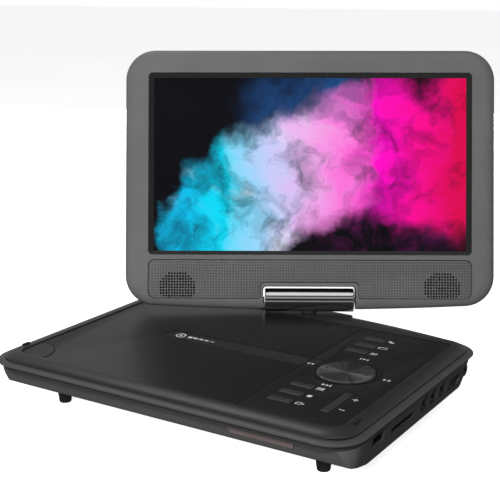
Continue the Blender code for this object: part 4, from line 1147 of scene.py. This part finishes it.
def back_cover():
    back = shaped(screen_outline, rolled(COVER_LOW.y, COVER_HIGH.y, 12.0, 14), "XZ")
    obj = raw_object("screen_back", back, SCREEN)
    combine(obj, cavity(-5.0, COVER_HIGH.y - 2.4))
    combine(obj, notch())
    combine(obj, pin_pocket())
    vents = bmesh.new()
    for side in (-90, 90):
        for z in range(20, 45, 5):
            prism(rectangle(side - 14.0, side + 14.0, z, z + 1.6, 0.75, 6), 0.0, 20.0, "XZ", vents)
    combine(obj, vents)
    wells = bmesh.new()
    face = COVER_HIGH.y
    for place in COVER_SCREWS:
        turned([(3.3, face - 1.3), (3.3, face - 0.3), (3.7, face + 1.0)], place, "XZ", 40, wells)
    combine(obj, wells)
    piece(obj, "black", "screen", "back_cover")
    turned_about = SCREEN @ Matrix.Rotation(pi, 4, "Z")
    for number, (x, z) in enumerate(COVER_SCREWS, 1):
        cross_head(f"cover_screw_{number}", (-x, z), 2.7, -face + 0.35, 0.9, "screen", turned_about, "XZ")


def gasket():
    """The black frame that slopes from the window's edge down to the picture."""
    inner = rectangle(-PICTURE_HALF, PICTURE_HALF, PICTURE_BASE, PICTURE_TOP, 0.6, 8)
    bm = ring(window_outline(0.05), inner, PICTURE_LOW.y - 0.05, FACE + 0.5, "XZ", PICTURE_LOW.y - 0.4)
    piece(raw_object("window_gasket", bm, SCREEN), "gasket", "screen")


def display():
    low, high = PICTURE_LOW, PICTURE_HIGH
    levels = ((high.y, 0.0), (low.y + 0.15, 0.0), (low.y, 0.2))
    glass = shaped(lambda inset: around(low.xz, high.xz, -inset, 1.5, 6), levels, "XZ")
    obj = raw_object("display_glass", glass, SCREEN)
    obj.visible_diffuse = obj.visible_glossy = False
    piece(obj, "picture", "screen", "lcd_panel")


# CAD nodes that keep their own shape.
KEPT = {
    "steel": ("drive_chassis", "spindle_motor", "guide_rod_left", "guide_rod_right", "swivel_shaft", "swivel_washer",
              "tilt_pin_left", "tilt_pin_right", "hinge_bracket_left", "hinge_bracket_right"),
    "socket": ("disc_hub", "laser_pickup", "card_socket", "lid_latch", "speaker_left", "speaker_right"),
    "key": ("nav_carrier",),
    "board": ("main_board", "key_board", "screen_board"),
    "battery": ("battery_pack",),
    "light_guide": ("lcd_backlight",),
    "lens": ("laser_lens",),
}


def dress_kept_nodes():
    for look, nodes in KEPT.items():
        for node in nodes:
            data = frame["nodes"][node].data
            data.materials.clear()
            data.materials.append(LOOKS[look])


# Studio.

def floor():
    """A pale floor that goes nearly white, so that only a faint shadow shows on it."""
    bm = bmesh.new()
    bmesh.ops.create_grid(bm, x_segments=24, y_segments=24, size=12000.0)
    obj = raw_object("studio_floor", bm, Matrix.Identity(4))
    obj.data.materials.append(LOOKS["floor"])
    obj.visible_diffuse = obj.visible_glossy = False


def area_light(name, azimuth, elevation, distance, size, power):
    """A soft box that faces the object; azimuth 0 is in front of the base and 90 on its right."""
    data = bpy.data.lights.new(name, "AREA")
    data.shape = "RECTANGLE"
    data.size, data.size_y = size
    data.energy = power
    obj = bpy.data.objects.new(name, data)
    bpy.context.scene.collection.objects.link(obj)
    a, e = radians(azimuth), radians(elevation)
    away = Vector((sin(a) * cos(e), -cos(a) * cos(e), sin(e)))
    obj.location = away * distance + Vector((0.0, 0.0, 0.1))
    obj.rotation_euler = away.to_track_quat("Z", "Y").to_euler()
    return obj


# What the object reflects: elevation and share of white, in front and behind.
FRONT_BANDS = ((-90, 0.32), (-3, 0.32), (5, 0.30), (9, 0.03), (28, 0.03), (32, 0.36), (44, 0.36), (48, 0.03),
               (58, 0.03), (62, 0.85), (90, 0.85))
BACK_BANDS = ((-90, 0.10), (-6, 0.05), (0, 0.42), (24, 0.34), (40, 0.12), (84, 0.12), (90, 0.85))
# How much of that reaches matt surfaces, and how far the two halves blend.
DIFFUSE_SHARE = 0.2
BLEND = 0.15


def band_stops(bands):
    return [((sin(radians(elevation)) + 1) / 2, (value, value, value)) for elevation, value in bands]


def surroundings():
    """White behind the object, and a dim studio with soft bands of light for it to reflect."""
    world = bpy.data.worlds.new("studio")
    world.use_nodes = True
    n = Nodes(world.node_tree)
    direction = n.add("TexCoord").outputs["Generated"]
    height = n.spread(n.split(direction)["Z"], 0.0, 1.0, -1.0, 1.0)
    forward = (sin(SWIVEL), -cos(SWIVEL), 0.0)
    facing = n.add("VectorMath", {0: direction, 1: forward}, operation="DOT_PRODUCT").outputs["Value"]
    reflected = n.mix(n.spread(facing, 0.0, 1.0, -BLEND, BLEND), n.ramp(height, band_stops(BACK_BANDS)),
                      n.ramp(height, band_stops(FRONT_BANDS)))
    path = n.add("LightPath").outputs
    background = world.node_tree.nodes["Background"].inputs
    n.put(background["Strength"], n.spread(path["Is Diffuse Ray"], 1.0, DIFFUSE_SHARE, 0.0, 1.0))
    n.put(background["Color"], n.mix(path["Is Camera Ray"], reflected, (1.0, 1.0, 1.0)))
    return world


def studio():
    scene = bpy.context.scene
    scene.view_settings.view_transform = "Standard"
    scene.world = surroundings()
    key = area_light("key_light", azimuth=14.0, elevation=27.0, distance=1.7, size=(0.6, 0.5), power=41.0)
    back = area_light("back_light", azimuth=205.0, elevation=12.0, distance=1.6, size=(1.0, 1.0), power=22.0)
    rim_glow = area_light("rim_light", azimuth=-118.0, elevation=57.0, distance=1.6, size=(0.7, 0.5), power=3.2)
    key.visible_glossy = back.visible_glossy = rim_glow.visible_diffuse = False


CAMERA_AZIMUTH = 32.13
CAMERA_ELEVATION = 13.875
CAMERA_FROM_DECK = (0.3554, -0.6464, 0.2278)
CAMERA_LENS = 76.34


def camera():
    data = bpy.data.cameras.new("camera")
    data.sensor_width = 36.0
    data.lens = CAMERA_LENS
    obj = bpy.data.objects.new("camera", data)
    bpy.context.scene.collection.objects.link(obj)
    obj.location = DECK.translation + Vector(CAMERA_FROM_DECK)
    obj.rotation_euler = (radians(90 - CAMERA_ELEVATION), 0.0, radians(CAMERA_AZIMUTH))
    bpy.context.scene.camera = obj


camera()
lower_shell()
rim()
disc_lid()
control_panel()
keys()
navigation()
rocker()
release_key()
power_switch()
usb_socket()
jacks()
ir_window()
feet_and_bumpers()
base_screws()
marks()
lid_mark()
hinge_cover()
barrel()
bezel()
grille()
back_cover()
gasket()
display()
dress_kept_nodes()
floor()
studio()
